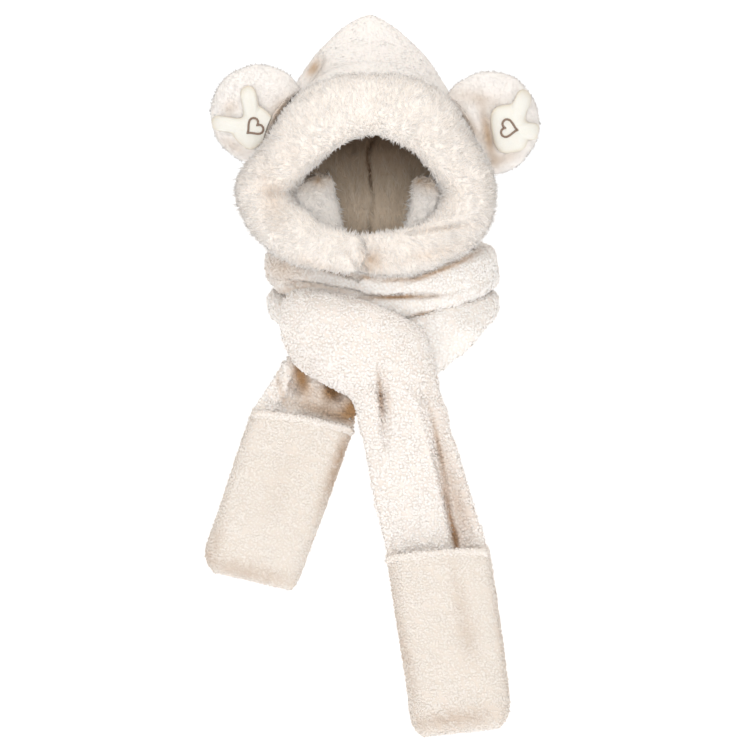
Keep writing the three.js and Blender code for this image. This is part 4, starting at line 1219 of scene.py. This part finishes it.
pockets = {
    # Each pocket's spots are painted shade along its edges and foot, and down the right pocket's middle.
    "left": {"rows": underStrand["rows"], "first": 15, "last": 18.85, "on": "scarf_under",
             "spots": [(-38, -494, 9, 60, -20, 0.6), (-150, -632, 56, 12, -14, 0.32),
                       (-194, -600, 9, 30, -18, 0.25), (-110, -520, 16, 60, -20, 0.07)]},
    "right": {"rows": overStrand["rows"], "first": 10, "last": 13.85, "on": "scarf_over",
              "spots": [(44, -735, 9, 62, 12, 0.28), (102, -812, 60, 13, 8, 0.33),
                        (111, -665, 9, 52, 10, 0.18), (122, -712, 15, 28, 10, 0.14),
                        (164, -710, 6, 90, 8, 0.15), (28, -640, 12, 40, 10, 0.12)]},
}
pocketShape = {
    "depth": 23.0, "wall": 8.0, "square": 5.5, "seatGap": 0.6, "steps": (70, 46), "crowding": 1.6,
    "fade": (14, 14), "mouthFade": 40,
    "hemRows": table("across out y bend", [
        (0.955, 0, -4, -12), (0.975, 3.0, -11, -8), (0.86, 4.2, -18.5, -4.5), (0.4, 4.4, -20, -2.5),
        (0, 4.4, -20, -2), (-0.4, 4.4, -20, -2.5), (-0.86, 4.2, -18.5, -4.5), (-0.975, 3.0, -11, -8),
        (-0.955, 0, -4, -12)]),
    "hemSteps": (90, 16),
    "hemPile": {"nub": 3.3, "wide": 0.62, "tall": 2.2, "sink": 1.0, "tilt": 0.9, "comb": 0.2, "clump": 9.0,
                "softness": 0.45, "cloth": 0.3},
    "cloth": {"setIn": 0.8, "lumps": 0.9, "lumpSize": 26.0, "nubs": 0.8, "nubSize": 3.6},
    "pile": {"nub": 3.6, "wide": 0.58, "tall": 1.7, "sink": 0.9, "tilt": 0.6, "comb": 0.3, "clump": 14.0,
             "softness": 0.52, "cloth": 0.3, "streaks": 0.6},
    "flat": (0.17, 0.24),
}


def pocketSheet(pocket, wall):
    # Sides and foot fall away as squarish rounds: the root of one minus the place to a high power.
    along, across = pocketShape["steps"]
    first, last = pocket["first"], pocket["last"]
    mouth = strandFrame(pocket["rows"], np.array(float(first)))
    foot = strandFrame(pocket["rows"], np.array(last))
    halfWidth = np.linalg.norm(foot[2])
    length = np.linalg.norm(mouth[1] - foot[1])
    backY = mouth[1][1] - mouth[0]["half"] - pocketShape["seatGap"]
    down = (1 - (1 - np.linspace(0, 1, along)) ** pocketShape["crowding"])[:, None]
    side = np.cos(np.linspace(0, 1, across) * math.pi)[None, :]
    sides = np.sqrt(np.maximum(0, 1 - np.abs(side) ** pocketShape["square"]))
    end = np.sqrt(np.maximum(0, 1 - down ** (2 * pocketShape["square"])))
    place = first + (last - first) * down * (1 - wall / length)
    _, middle, width, _ = strandFrame(pocket["rows"], place)
    grid = middle + width * (side * (1 - wall / halfWidth))[..., None]
    grid[..., 1] = backY - (pocketShape["depth"] - wall) * sides * end
    return grid


def makeHem(side):
    # The mouth's padded edge: a round tube that runs across the pocket and turns back at both sides.
    pocket = pockets[side]
    along, around = pocketShape["hemSteps"]
    rows = pocketShape["hemRows"]
    mouth = strandFrame(pocket["rows"], np.array(float(pocket["first"])))
    row = rowAt(rows, np.linspace(0, len(rows["y"]) - 1, along))
    back = mouth[1][1] - mouth[0]["half"] - pocketShape["seatGap"]
    up = unit(np.cross(mouth[2], [0.0, -1.0, 0.0]))
    up = up * np.sign(up[2])
    line = mouth[1] + mouth[2] * row["across"][:, None] + up * row["bend"][:, None]
    line[:, 1] = back + row["y"]
    way = unit(np.gradient(line, axis=0))
    angle = (np.arange(around) * 2 * math.pi / around)[None, :, None]
    first = unit(up - way * (way @ up)[:, None])
    second = np.cross(way, first)
    radius = np.maximum(row["out"], 0.4)[:, None, None]
    section = first[:, None] * np.cos(angle) * 0.9 + second[:, None] * np.sin(angle) * 0.75
    grid = line[:, None] + radius * section
    normals = gridNormals(grid, True)
    lean = laidAlong(normals, (0, 0, 1))
    piece = furryPiece("pocket_" + side + "_hem", tubeParts(grid), (grid, normals, True, lean, None),
                       pocketShape["hemPile"], 91)
    return finished(piece, [], hemPlush)


def makePocket(side):
    # A wall between two trays, one set inside the other, whose lumps fade out at every edge.
    pocket = pockets[side]
    outer, inner = pocketSheet(pocket, 0.0), pocketSheet(pocket, pocketShape["wall"])
    inside = outer.mean((0, 1)) + [0, 100, 0]
    mouth = np.clip(np.linspace(0, 1, outer.shape[0])[:, None] * pocketShape["mouthFade"], 0, 1)
    share = fadedEdges(pocketShape["steps"], *pocketShape["fade"]) * mouth
    shaped, normals = roughened(outer, False, pocketShape["cloth"], 43, inside, share)
    cloth = clothPiece("pocket_" + side + "_cloth", wallParts(shaped, inner),
                       plainCloth(shaped, pocketShape["pile"]), pocket["spots"])
    finished(cloth, ["pocket_" + side], pocketPlush)
    lean = laidAlong(normals, (0, 0, -1))
    pile = pilePiece("pocket_" + side + "_pile", (shaped, normals, False, lean, None), pocketShape["pile"],
                     81, pocket["spots"])
    finished(pile, [], pocketPlush)
    hem = makeHem(side)
    return cloth


# Studio

studio = {
    "floorZ": -1.3, "floorHalf": 60.0, "sensor": 36.0, "distance": 14.0, "elevation": 2.0, "frame": 0.9375,
    "lookAt": (0.00625, 0.0, -0.3925), "seen": 1.1, "world": 0.66, "warm": (1.0, 0.945, 0.885, 1),
    "floorGlow": 0.5,
    "lamps": [("key", (-0.7, -4.4, 1.2), 1.2, 27), ("front", (0.2, -5.0, -0.12), 1.2, 63),
              ("top", (-0.2, -1.0, 3.2), 2.2, 43), ("back", (0.6, 3.0, 1.4), 1.8, 24)],
}


def aimed(way):
    # The turn that points a lamp or the camera along a direction.
    return Vector(way).to_track_quat("-Z", "Y")


def makeStudio():
    # A pale floor, a white backdrop, four soft lamps, and the camera a little above straight in front.
    scene = bpy.context.scene
    scene.view_settings.view_transform = "Standard"
    half = studio["floorHalf"]
    corners = [(-half, -half), (half, -half), (half, half), (-half, half)]
    mesh = bpy.data.meshes.new("floor")
    mesh.from_pydata([(x, y, studio["floorZ"]) for x, y in corners], [], [(0, 1, 2, 3)])
    floor = bpy.data.objects.new("floor", mesh)
    scene.collection.objects.link(floor)
    pale, _, _, shader = newMaterial("pale floor")
    setSockets(shader, {"Base Color": (0.92, 0.94, 0.97, 1), "Roughness": 0.9, "Emission Color": (1, 1, 1, 1),
                        "Emission Strength": studio["floorGlow"]})
    mesh.materials.append(pale)
    world = bpy.data.worlds.new("studio")
    world.use_nodes = True
    # The backdrop looks white to the camera, and lights the object less strongly and more warmly.
    nodes, links = world.node_tree.nodes, world.node_tree.links
    seen, strength = nodes.new("ShaderNodeLightPath"), nodes.new("ShaderNodeMapRange")
    setSockets(strength, {"To Min": studio["world"], "To Max": studio["seen"]})
    links.new(seen.outputs["Is Camera Ray"], strength.inputs["Value"])
    fill = socketMix(nodes, links, seen.outputs["Is Camera Ray"], studio["warm"], (1, 1, 1, 1))
    links.new(fill, nodes["Background"].inputs["Color"])
    links.new(strength.outputs["Result"], nodes["Background"].inputs["Strength"])
    scene.world = world
    for name, place, size, power in studio["lamps"]:
        light = bpy.data.lights.new(name, "AREA")
        light.size, light.energy = size, power
        lamp = bpy.data.objects.new(name, light)
        lamp.location = place
        aim = np.array(studio["lookAt"]) - np.array(place)
        lamp.rotation_mode = "QUATERNION"
        lamp.rotation_quaternion = aimed(aim)
        scene.collection.objects.link(lamp)
    camera = bpy.data.objects.new("camera", bpy.data.cameras.new("camera"))
    camera.data.sensor_width = studio["sensor"]
    camera.data.lens = studio["sensor"] * studio["distance"] / studio["frame"]
    camera.data.clip_end = 200.0
    tilt = math.radians(studio["elevation"])
    back = np.array([0, -math.cos(tilt), math.sin(tilt)]) * studio["distance"]
    camera.location = np.array(studio["lookAt"]) + back
    camera.rotation_mode = "QUATERNION"
    camera.rotation_quaternion = aimed(-back)
    scene.collection.objects.link(camera)
    scene.camera = camera


makeStudio()
print("studio made")
makeBrim()
makeHood()
makeLining()
makeWrap()
makeStrand("scarf_over", "scarf_over_strand", overStrand, 101, plush)
makeStrand("scarf_under", "scarf_under_strand", underStrand, 111, litScarfPlush)
for side in ("left", "right"):
    makeStrand("facing_" + side + "_fleece", "facing_" + side, {**facingShape, **facings[side]}, 121,
               facingLitFleece)
    makeEar(side)
    makePatch(side)
    makeHeart(side)
    makePocket(side)
